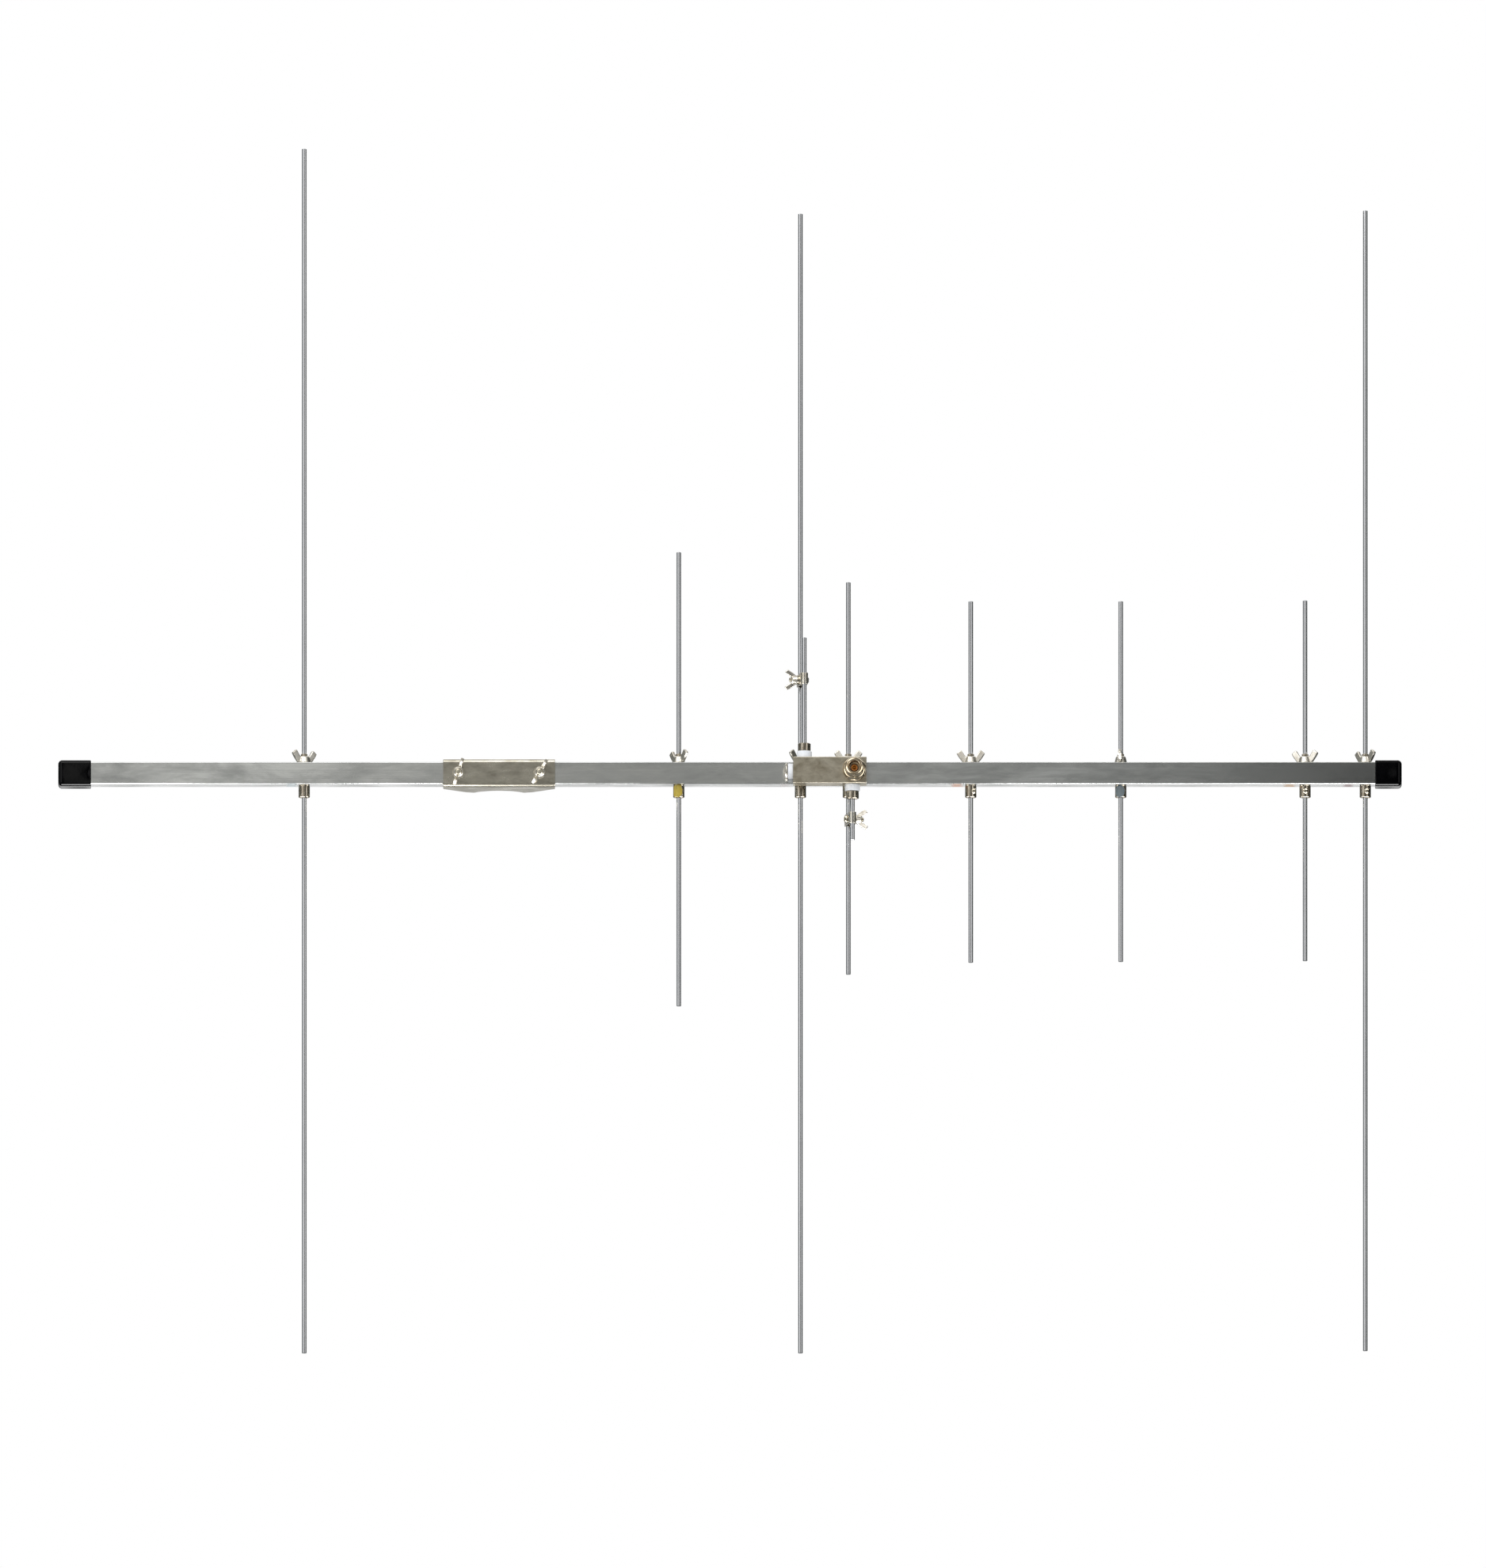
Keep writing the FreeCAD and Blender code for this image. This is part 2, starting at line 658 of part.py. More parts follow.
def make_socket_shell():
    # Flange on the box, a domed shoulder, the threaded barrel and a tail through the wall.
    flange_r = socket_flange_d / 2
    barrel_r = socket_barrel_d / 2
    tail_r = socket_tail_d / 2
    bore_r = socket_bore_d / 2
    insert_r = insert_d / 2 + fit_gap
    shoulder_top = socket_flange_h + socket_dome_h
    half_turn = math.sqrt(0.5)
    shoulder_middle = V(
        barrel_r + (flange_r - barrel_r) * half_turn, 0, socket_flange_h + socket_dome_h * half_turn,
    )
    start = V(flange_r, 0, socket_flange_h)
    end = V(barrel_r, 0, shoulder_top)
    before = [(insert_r, -socket_tail_h), (tail_r, -socket_tail_h), (tail_r, 0), (flange_r, 0)]
    after = [
        (barrel_r, socket_length - socket_mouth_bevel), (barrel_r - socket_mouth_bevel, socket_length),
        (bore_r + socket_mouth_bevel, socket_length), (bore_r, socket_length - socket_mouth_bevel),
        (bore_r, socket_length - socket_bore_depth), (insert_r, socket_length - socket_bore_depth),
        before[0],
    ]
    first = [V(r, 0, h) for r, h in before] + [start]
    last = [end] + [V(r, 0, h) for r, h in after]
    outline = Part.Wire(
        Part.makePolygon(first).Edges
        + [Part.Arc(start, shoulder_middle, end).toShape()]
        + Part.makePolygon(last).Edges
    )
    return Part.Face(outline).revolve(V(0, 0, 0), UP, 360)


def make_socket_insert():
    front = socket_length - socket_bore_depth
    seat = front - insert_seat_h
    pin_r = contact_pin_d / 2 + fit_gap
    contact_r = contact_d / 2 + fit_gap
    back = -socket_tail_h
    return turned([
        (pin_r, back), (insert_d / 2, back), (insert_d / 2, front),
        (contact_r, front), (contact_r, seat), (pin_r, seat),
    ])


def make_socket_contact():
    seat = socket_length - socket_bore_depth - insert_seat_h
    tip = socket_length - contact_recess
    tail = match_y - box_front_y + strip_sheet / 2 + contact_pin_past_strip
    hole_r = contact_hole_d / 2
    r = contact_d / 2
    contact = turned([
        (0, -tail), (contact_pin_d / 2, -tail), (contact_pin_d / 2, seat), (r, seat),
        (r, tip), (hole_r, tip), (hole_r, tip - contact_hole_depth), (0, tip - contact_hole_depth),
    ])
    # Two crossing slots leave four springy fingers round the hole.
    half_slot = contact_slot_w / 2
    slot_foot = tip - contact_slot_depth
    contact = contact.cut(block(V(-contact_d, -half_slot, slot_foot), V(contact_d, half_slot, tip + 1)))
    return contact.cut(block(V(-half_slot, -contact_d, slot_foot), V(half_slot, contact_d, tip + 1)))


def make_socket_nut():
    corner_r = socket_nut_flats / math.sqrt(3)
    corners = [
        V(corner_r * math.cos(math.radians(60 * side)), corner_r * math.sin(math.radians(60 * side)), 0)
        for side in range(6)
    ]
    nut = Part.Face(Part.makePolygon(corners + corners[:1])).extrude(UP * socket_nut_h)
    return nut.cut(rod(socket_tail_d + 2 * fit_gap, socket_nut_h + 2, V(0, 0, -1)))


os.makedirs("parts", exist_ok=True)

# Boom and its caps.
save("boom", make_boom())
save("end_cap_tail", make_end_cap(boom_tail_x, tail_cap_length, -1))
save("end_cap_nose", make_end_cap(boom_nose_x, nose_cap_length, 1))

# Elements: rod, bush and wing nut for each, and the pinch screws as one group.
large_nut = make_wing_nut(
    bush_neck_d, nut_base_d, nut_top_d, nut_hub_h, nut_span, nut_height, nut_blade_w, nut_blade_t,
)
pinch_screws = []
for name, (step, above, below, nut_turn, screw_turn) in element_steps.items():
    x = element_x[name]
    save("rod_" + name, aim(make_rod(above + below), V(x, boom_y, -below), UP))
    save("bush_" + name, aim(make_bush(screw_turn), V(x, boom_y, -boom_half), UP))
    save("wing_nut_" + name, aim(large_nut, V(x, boom_y, boom_half), UP, nut_turn))
    pinch_screws.append(make_pinch_screw(screw_turn, x))
save("pinch_screws", Part.makeCompound(pinch_screws))

# Mast clamp.
save("mast_bracket", make_mast_bracket())
save("u_bolt", make_u_bolt())
mast_nut = make_wing_nut(
    u_bolt_d, nut_base_d, nut_top_d, nut_hub_h, nut_span, nut_height, nut_blade_w, nut_blade_t,
)
for side, x, turn in (
    ("left", -u_bolt_pitch / 2, left_mast_nut_turn),
    ("right", u_bolt_pitch / 2, right_mast_nut_turn),
):
    upright = mast_nut.copy()
    upright.rotate(V(0, 0, 0), UP, 90)
    facing = aim(upright, V(x, bracket_front_y, 0), FORWARD)
    facing.rotate(V(x, bracket_front_y, 0), BACKWARD, turn)
    save("mast_wing_nut_" + side, facing)

# Feed box with its terminal.
save("feed_box_tray", make_feed_box_tray())
save("feed_box_back", make_feed_box_back())
save("feed_box_screws", make_box_screws())
terminal_at = V(box_left, match_y, 0)
terminal_bush = make_insulator(terminal_bush_d, terminal_bush_h, terminal_stud_d)
save("terminal_bush", aim(terminal_bush, terminal_at, ASTERN))
save("terminal_cap", aim(make_terminal(), terminal_at + ASTERN * terminal_bush_h, ASTERN))
save("feed_strip", make_feed_strip())

# Matching rods with their shorting straps.
make_match_set("2m", match_x_2m, match_tip_2m, UP)
make_match_set("70cm", match_x_70cm, match_tip_70cm, DOWN)
make_strap_set("2m", match_x_2m, element_x["driven_2m"], strap_z_2m, 1)
make_strap_set("70cm", match_x_70cm, element_x["driven_70cm"], -strap_z_70cm, -1)

# Coaxial socket.
socket_at = V(socket_x, box_front_y, 0)
save("socket_shell", aim(make_socket_shell(), socket_at, FORWARD))
save("socket_insert", aim(make_socket_insert(), socket_at, FORWARD))
save("socket_contact", aim(make_socket_contact(), socket_at, FORWARD))
save("socket_nut", aim(make_socket_nut(), socket_at + BACKWARD * (box_sheet + socket_nut_h), FORWARD))
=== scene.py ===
import bmesh
import bpy
import json
import math
import numpy as np
from mathutils import Matrix, Vector

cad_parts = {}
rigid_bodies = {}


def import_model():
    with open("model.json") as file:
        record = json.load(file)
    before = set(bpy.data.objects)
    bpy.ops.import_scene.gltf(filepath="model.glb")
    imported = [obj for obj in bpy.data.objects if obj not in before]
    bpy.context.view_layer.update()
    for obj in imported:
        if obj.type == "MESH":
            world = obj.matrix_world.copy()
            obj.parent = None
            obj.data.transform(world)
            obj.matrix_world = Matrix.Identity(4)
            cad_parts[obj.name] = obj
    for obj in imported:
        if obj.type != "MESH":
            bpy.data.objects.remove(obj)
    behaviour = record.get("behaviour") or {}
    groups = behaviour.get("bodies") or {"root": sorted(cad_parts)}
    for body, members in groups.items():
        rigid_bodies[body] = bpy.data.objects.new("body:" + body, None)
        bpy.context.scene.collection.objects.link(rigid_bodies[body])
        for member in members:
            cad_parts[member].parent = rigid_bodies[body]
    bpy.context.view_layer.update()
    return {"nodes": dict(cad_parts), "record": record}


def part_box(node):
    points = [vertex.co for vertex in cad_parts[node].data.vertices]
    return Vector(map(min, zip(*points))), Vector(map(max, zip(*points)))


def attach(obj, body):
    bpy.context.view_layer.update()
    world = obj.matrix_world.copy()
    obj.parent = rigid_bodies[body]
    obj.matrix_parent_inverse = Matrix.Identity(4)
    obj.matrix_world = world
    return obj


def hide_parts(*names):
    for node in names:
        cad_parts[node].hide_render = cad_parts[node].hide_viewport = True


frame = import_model()
mm = 0.001
root = "root"
slotOf = {part["node"]: part["material_slot"] for part in frame["record"]["subparts"]}
print("frame loaded:", len(frame["nodes"]), "nodes")


# colours and shader nodes

def linearColour(hexCode):
    # sRGB hex to linear: c/12.92 below 0.04045, otherwise ((c + 0.055)/1.055)^2.4
    parts = np.array([int(hexCode[i:i + 2], 16) for i in (1, 3, 5)]) / 255
    low, high = parts / 12.92, ((parts + 0.055) / 1.055) ** 2.4
    return (*np.where(parts <= 0.04045, low, high).tolist(), 1.0)


def addNode(tree, kind, settings=None, links=None):
    # settings set attributes or unlinked sockets, links join other nodes' outputs to sockets
    node = tree.nodes.new(kind)
    for key, value in (settings or {}).items():
        if isinstance(key, str) and hasattr(node, key):
            setattr(node, key, value)
        else:
            node.inputs[key].default_value = value
    for key, source in (links or {}).items():
        tree.links.new(source, node.inputs[key])
    return node


def startMaterial(name, shaderSettings):
    material = bpy.data.materials.new(name)
    material.use_nodes = True
    tree = material.node_tree
    tree.nodes.clear()
    shader = addNode(tree, "ShaderNodeBsdfPrincipled", shaderSettings)
    addNode(tree, "ShaderNodeOutputMaterial", links={"Surface": shader.outputs["BSDF"]})
    where = addNode(tree, "ShaderNodeTexCoord").outputs["Object"]
    return material, tree, shader, where


def stretched(tree, where, scale):
    # object coordinates multiplied axis by axis, in pattern repeats for each metre
    return addNode(tree, "ShaderNodeMapping", {"Scale": scale}, {"Vector": where}).outputs["Vector"]


def noise(tree, vector, scale=1.0, detail=3.0, roughness=0.55, distortion=0.0):
    settings = {"Scale": scale, "Detail": detail, "Roughness": roughness, "Distortion": distortion}
    return addNode(tree, "ShaderNodeTexNoise", settings, {"Vector": vector}).outputs["Fac"]


def spread(tree, value, fromLow, fromHigh, toLow, toHigh):
    settings = {"From Min": fromLow, "From Max": fromHigh, "To Min": toLow, "To Max": toHigh}
    return addNode(tree, "ShaderNodeMapRange", settings, {"Value": value}).outputs["Result"]


def blendColours(tree, factor, first, second):
    # first and second are hex codes or colour outputs
    mix = addNode(tree, "ShaderNodeMix", {"data_type": "RGBA"})
    tree.links.new(factor, mix.inputs[0])
    for socket, colour in ((mix.inputs[6], first), (mix.inputs[7], second)):
        if isinstance(colour, str):
            socket.default_value = linearColour(colour)
        else:
            tree.links.new(colour, socket)
    return mix.outputs[2]


def maths(tree, operation, *values):
    # each value is a number or another node's output, in the order of the node's inputs
    numbers = {place: value for place, value in enumerate(values) if isinstance(value, float)}
    outputs = {place: value for place, value in enumerate(values) if not isinstance(value, float)}
    return addNode(tree, "ShaderNodeMath", {"operation": operation, **numbers}, outputs).outputs[0]


def bumpOf(tree, height, distance):
    bump = addNode(tree, "ShaderNodeBump", {"Distance": distance, "Strength": 1.0}, {"Height": height})
    return bump.outputs["Normal"]


# Metals all share one build: lines left by the die, grit or lathe, and cloudy tarnish over them.
# lineScale is line count for each metre along X, Y and Z, so the lines run along the axis with few.
def metalMaterial(name, look):
    material, tree, shader, where = startMaterial(name, {"Metallic": 1.0, "Roughness": look["roughness"]})
    lines = noise(tree, stretched(tree, where, look["lineScale"]), detail=2.0)
    cloud = noise(tree, stretched(tree, where, look["cloudScale"]), detail=4.0, roughness=0.6, distortion=0.4)
    tarnish = spread(tree, cloud, 0.35, 0.7, 0.0, 1.0)
    colour = blendColours(tree, tarnish, look["bright"], look["dull"])
    streak = spread(tree, lines, 0.3, 0.7, 0.0, look["lineTint"])
    colour = blendColours(tree, streak, colour, look["dull"])
    low, high = look["roughness"] * 0.8, look["roughness"] * 1.3
    rough = spread(tree, cloud, 0.3, 0.75, low, high)
    tree.links.new(colour, shader.inputs["Base Color"])
    tree.links.new(rough, shader.inputs["Roughness"])
    tree.links.new(bumpOf(tree, lines, look["lineDepth"]), shader.inputs["Normal"])
    return material, tree, shader, where, colour


# Boom: extruded 6063 aluminium, mill finish. Die lines run along X about 0.7 mm apart, drawn wide
# enough to show, and handling leaves pale cloudy smudges some 15 to 45 mm across.
boomLook = {
    "bright": "#eeefee", "dull": "#cacccb", "roughness": 0.2, "lineTint": 0.35,
    "lineScale": (3.0, 1500.0, 1500.0), "cloudScale": (22.0, 70.0, 70.0), "lineDepth": 0.00002,
    # colour-code dabs of paint on the underside: place along X and length in mm, and colour
    "dabs": ((393.0, 8.0, "#e08a3c"), (678.5, 8.5, "#cf9000"), (729.0, 7.0, "#7d3230"),
             (-178.0, 8.0, "#cfe0e6"), (245.0, 6.0, "#dcd2d0")),
    "dabWobble": 4.0 * mm, "dabFade": 1.8 * mm, "dabCover": 0.85,
}


def boomMaterial():
    look = boomLook
    material, tree, shader, where, colour = metalMaterial("millAluminium", look)
    along = addNode(tree, "ShaderNodeSeparateXYZ", links={"Vector": where}).outputs["X"]
    wobble = noise(tree, where, scale=150.0, detail=3.0)
    facing = addNode(tree, "ShaderNodeNewGeometry").outputs["Normal"]
    downward = addNode(tree, "ShaderNodeSeparateXYZ", links={"Vector": facing}).outputs["Z"]
    under = spread(tree, downward, -0.9, -0.7, 1.0, 0.0)
    painted = None
    for place, length, paint in look["dabs"]:
        # distance from the dab's middle along X plus some noise, faded out on both sides of its edge
        distance = maths(tree, "ABSOLUTE", maths(tree, "SUBTRACT", along, place * mm))
        ragged = maths(tree, "MULTIPLY_ADD", wobble, look["dabWobble"], distance)
        edge = length * mm / 2 + look["dabWobble"] / 2
        dab = spread(tree, ragged, edge - look["dabFade"], edge + look["dabFade"], look["dabCover"], 0.0)
        dab = maths(tree, "MULTIPLY", dab, under)
        colour = blendColours(tree, dab, colour, paint)
        painted = dab if painted is None else maths(tree, "MAXIMUM", painted, dab)
    tree.links.new(colour, shader.inputs["Base Color"])
    tree.links.new(spread(tree, painted, 0.0, 1.0, 1.0, 0.0), shader.inputs["Metallic"])
    return material


# Rods: ground stainless bar, polished. Grinding lines run along Z, finer than can show.
rodLook = {
    "bright": "#eff0f2", "dull": "#dfe0e3", "roughness": 0.1, "lineTint": 0.3,
    "lineScale": (2500.0, 2500.0, 6.0), "cloudScale": (60.0, 60.0, 12.0), "lineDepth": 0.0000012,
}

# Bushes and the matching rods' collars: turned brass with nickel plate, lathe rings 0.3 mm apart.
turnedLook = {
    "bright": "#d0c8b8", "dull": "#a39784", "roughness": 0.22, "lineTint": 0.3,
    "lineScale": (40.0, 40.0, 3500.0), "cloudScale": (220.0, 220.0, 220.0), "lineDepth": 0.000006,
}

# Wing nuts and the terminal's cap: steel under thin nickel, slightly rough all over.
wingNutLook = {
    "bright": "#f0ece2", "dull": "#cbc4b7", "roughness": 0.35, "lineTint": 0.25,
    "lineScale": (1800.0, 1800.0, 1800.0), "cloudScale": (260.0, 260.0, 260.0), "lineDepth": 0.00001,
}

# Screws and washers: brighter nickel on drawn wire.
screwLook = {
    "bright": "#d6cfbf", "dull": "#aaa291", "roughness": 0.2, "lineTint": 0.3,
    "lineScale": (1500.0, 1500.0, 1500.0), "cloudScale": (180.0, 180.0, 180.0), "lineDepth": 0.000006,
}

# U-bolt: the same plate on thicker wire, its dull side paler, so the bare ends catch the light.
boltLook = {
    "bright": "#f0e9d8", "dull": "#d0c6ad", "roughness": 0.3, "lineTint": 0.2,
    "lineScale": (1500.0, 1500.0, 1500.0), "cloudScale": (180.0, 180.0, 180.0), "lineDepth": 0.000006,
}

# Bracket: steel sheet folded cold and barrel plated, with the rolling grain along X.
bracketLook = {
    "bright": "#d2cdbf", "dull": "#959083", "roughness": 0.3, "lineTint": 0.2,
    "lineScale": (120.0, 1500.0, 1500.0), "cloudScale": (55.0, 120.0, 120.0), "lineDepth": 0.000012,
}

# Straps: the same plate on thinner strip, brighter than the bracket's.
strapLook = {
    "bright": "#eae6da", "dull": "#c6beae", "roughness": 0.26, "lineTint": 0.3,
    "lineScale": (1500.0, 1500.0, 120.0), "cloudScale": (160.0, 160.0, 160.0), "lineDepth": 0.000008,
}

# Feed box: thinner sheet, tarnished to beige grey, with cloudy finger marks.
boxLook = {
    "bright": "#e8e0cd", "dull": "#9c927e", "roughness": 0.34, "lineTint": 0.15,
    "lineScale": (160.0, 1400.0, 1400.0), "cloudScale": (85.0, 130.0, 130.0), "lineDepth": 0.000012,
}

# Socket and its nut: turned brass under bright nickel that has yellowed a little.
socketLook = {
    "bright": "#e8dcc6", "dull": "#c4ac88", "roughness": 0.17, "lineTint": 0.25,
    "lineScale": (60.0, 3000.0, 60.0), "cloudScale": (150.0, 150.0, 150.0), "lineDepth": 0.000004,
}

# Centre contact: thin gold on turned brass.
goldLook = {
    "bright": "#e2a04a", "dull": "#b3702c", "roughness": 0.18, "lineTint": 0.2,
    "lineScale": (60.0, 3000.0, 60.0), "cloudScale": (400.0, 400.0, 400.0), "lineDepth": 0.000003,
}

# Feed strip inside the box: brass sheared from sheet.
brassLook = {
    "bright": "#c9a25a", "dull": "#8f6f3a", "roughness": 0.33, "lineTint": 0.4,
    "lineScale": (60.0, 1500.0, 1500.0), "cloudScale": (140.0, 140.0, 140.0), "lineDepth": 0.000008,
}


# End caps: plastisol vinyl, dipped over a mould, so wet-looking with a faint orange peel.
def vinylMaterial():
    settings = {"Roughness": 0.14, "IOR": 1.5, "Specular IOR Level": 0.2}
    material, tree, shader, where = startMaterial("dippedVinyl", settings)
    peel = noise(tree, where, scale=420.0, detail=2.0)
    dust = noise(tree, where, scale=90.0, detail=4.0)
    colour = blendColours(tree, spread(tree, dust, 0.45, 0.8, 0.0, 1.0), "#020203", "#060608")
    tree.links.new(colour, shader.inputs["Base Color"])
    tree.links.new(spread(tree, dust, 0.3, 0.8, 0.12, 0.2), shader.inputs["Roughness"])
    tree.links.new(bumpOf(tree, peel, 0.00003), shader.inputs["Normal"])
    return material


# Insulators: turned fluoroplastic, waxy white with hardly any gloss.
def insulatorMaterial():
    settings = {"Roughness": 0.38, "IOR": 1.35}
    material, tree, shader, where = startMaterial("turnedFluoroplastic", settings)
    rings = noise(tree, stretched(tree, where, (60.0, 60.0, 2600.0)), detail=2.0)
    cloud = noise(tree, where, scale=180.0, detail=3.0)
    colour = blendColours(tree, spread(tree, cloud, 0.4, 0.8, 0.0, 1.0), "#f6f8fc", "#eceff5")
    tree.links.new(colour, shader.inputs["Base Color"])
    tree.links.new(bumpOf(tree, rings, 0.00001), shader.inputs["Normal"])
    return material


# Socket insert: moulded phenolic, amber of its own, with the contact's orange painted round it as a painted
# reflection, and painted shade, nearly black, by the wall down in the mouth. Both reaches are radii about the
# contact's axis.
insertLook = {"bright": "#c07830", "dull": "#8f5220", "wall": "#2c1c0e",
              "amberReach": 1.7 * mm, "paintedShadeReach": 3.1 * mm}


def phenolicMaterial():
    look = insertLook
    material, tree, shader, where = startMaterial("mouldedPhenolic", {"Roughness": 0.32, "IOR": 1.6})
    middle = middleOf("socket_insert")
    settings = {"Location": (-middle.x, 0, -middle.z), "Scale": (1, 0, 1)}
    local = addNode(tree, "ShaderNodeMapping", settings, {"Vector": where}).outputs["Vector"]
    reach = addNode(tree, "ShaderNodeVectorMath", {"operation": "LENGTH"}, {0: local}).outputs["Value"]
    cloud = noise(tree, where, scale=900.0, detail=3.0)
    amber = blendColours(tree, spread(tree, cloud, 0.3, 0.8, 0.0, 1.0), look["bright"], look["dull"])
    # painted shade: beyond the amber's reach the colour goes over to near black towards the bore's wall
    paintedShadeByWall = spread(tree, reach, look["amberReach"], look["paintedShadeReach"], 0.0, 1.0)
    tree.links.new(blendColours(tree, paintedShadeByWall, amber, look["wall"]), shader.inputs["Base Color"])
    tree.links.new(bumpOf(tree, cloud, 0.00002), shader.inputs["Normal"])
    return material


# Capacitors: ceramic body dipped in brown epoxy.
def capacitorMaterial():
    material, tree, shader, where = startMaterial("dippedCeramic", {"Roughness": 0.3, "IOR": 1.5})
    cloud = noise(tree, where, scale=600.0, detail=4.0)
    colour = blendColours(tree, spread(tree, cloud, 0.3, 0.8, 0.0, 1.0), "#a8622c", "#7c431c")
    tree.links.new(colour, shader.inputs["Base Color"])
    tree.links.new(bumpOf(tree, cloud, 0.00004), shader.inputs["Normal"])
    return material


materials = {
    "boom_tube": boomMaterial(),
    "end_cap_vinyl": vinylMaterial(),
    "rod_steel": metalMaterial("polishedStainlessRod", rodLook)[0],
    "plated_turned": metalMaterial("turnedNickelPlate", turnedLook)[0],
    "plated_wing_nut": metalMaterial("pressedNickelPlate", wingNutLook)[0],
    "plated_screw": metalMaterial("nickelPlatedScrew", screwLook)[0],
    "plated_sheet": metalMaterial("foldedNickelSheet", bracketLook)[0],
    "box_sheet": metalMaterial("tarnishedNickelSheet", boxLook)[0],
    "plated_bolt": metalMaterial("nickelPlatedBolt", boltLook)[0],
    "white_insulator": insulatorMaterial(),
    "plated_socket": metalMaterial("brightNickelSocket", socketLook)[0],
    "gilt_contact": metalMaterial("goldPlatedContact", goldLook)[0],
    "brass_strip": metalMaterial("shearedBrass", brassLook)[0],
    "capacitor_body": capacitorMaterial(),
}
print("materials made:", len(materials))


# meshes

meshSettings = {"sharpAngle": 35.0, "merge": 2e-7, "noArea": 1e-8}


def middleOf(node):
    low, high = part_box(node)
    return (low + high) / 2


def newObject(name, mesh):
    obj = bpy.data.objects.new(name, mesh)
    bpy.context.scene.collection.objects.link(obj)
    return obj


def finishPiece(obj, node, material=None, sharpAngle=meshSettings["sharpAngle"]):
    # hides the CAD node that the piece stands for and gives the piece the material of that node's slot, or
    # the one given
    obj.data.materials.clear()
    obj.data.materials.append(material or materials[slotOf[node]])
    obj.data.shade_smooth()
    obj.data.set_sharp_from_angle(angle=math.radians(sharpAngle))
    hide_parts(node)
    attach(obj, root)


def tidyMesh(mesh):
    # merges doubles, drops faces with no area and turns every face outwards
    work = bmesh.new()
    work.from_mesh(mesh)
    bmesh.ops.remove_doubles(work, verts=work.verts, dist=meshSettings["merge"])
    bmesh.ops.dissolve_degenerate(work, edges=work.edges, dist=meshSettings["noArea"])
    bmesh.ops.recalc_face_normals(work, faces=work.faces)
    work.to_mesh(mesh)
    work.free()
    mesh.validate()


def gridMesh(name, points):
    # points[row, column] joined by quads, each row closed on itself; a row that shrinks to one
    # point becomes a pole once its doubles are merged
    rows, columns = points.shape[:2]
    index = np.arange(rows * columns).reshape(rows, columns)
    index = np.hstack([index, index[:, :1]])
    quads = np.stack([index[:-1, :-1], index[:-1, 1:], index[1:, 1:], index[1:, :-1]], axis=-1).reshape(-1, 4)
    mesh = bpy.data.meshes.new(name)
    mesh.vertices.add(rows * columns)
    mesh.vertices.foreach_set("co", points.reshape(-1).astype(np.float32))
    mesh.loops.add(quads.size)
    mesh.loops.foreach_set("vertex_index", quads.reshape(-1).astype(np.int32))
    mesh.polygons.add(len(quads))
    mesh.polygons.foreach_set("loop_start", np.arange(0, quads.size, 4, dtype=np.int32))
    mesh.update(calc_edges=True)
    tidyMesh(mesh)
    return mesh


def gridPiece(node, points, material=None, sharpAngle=meshSettings["sharpAngle"]):
    # the piece that stands for a node and is all one grid
    finishPiece(newObject(node + "_piece", gridMesh(node, points)), node, material, sharpAngle)


def softened(corners, radius, steps):
    # outline whose corners are swapped for short curves: a quadratic through each corner's two
    # setbacks, the setback being radius or 0.45 of the shorter side beside it
    corners = np.array(corners, float)
    pieces = [corners[:1]]
    share = np.linspace(0, 1, steps + 1)[:, None]
    for before, corner, after in zip(corners[:-2], corners[1:-1], corners[2:]):
        toBefore, toAfter = before - corner, after - corner
        setback = min(radius, 0.45 * np.linalg.norm(toBefore), 0.45 * np.linalg.norm(toAfter))
        start = corner + toBefore / np.linalg.norm(toBefore) * setback
        end = corner + toAfter / np.linalg.norm(toAfter) * setback
        pieces.append((1 - share) ** 2 * start + 2 * share * (1 - share) * corner + share ** 2 * end)
    pieces.append(corners[-1:])
    return np.vstack(pieces)


def inserted(outline, spacing, low, high):
    # extra points on the runs of an outline between two heights, so that a thread can shape them
    rows = [outline[:1]]
    for start, end in zip(outline[:-1], outline[1:]):
        inside = min(start[1], end[1]) < high and max(start[1], end[1]) > low
        count = max(1, int(np.ceil(np.linalg.norm(end - start) / spacing))) if inside else 1
        rows.append(start + (end - start) * (np.arange(1, count + 1) / count)[:, None])
    return np.vstack(rows)


# Thread form: a triangle wave made steeper and cut to 0..1, so that crests and roots are flat. At
# its ends a thread fades out over ramp pitches.
threadShape = {"steep": 1.4, "cut": 0.2, "ramp": 0.8}


def threadWave(turns):
    triangle = 1 - np.abs(2 * (turns % 1) - 1)
    return np.clip(triangle * threadShape["steep"] - threadShape["cut"], 0, 1)


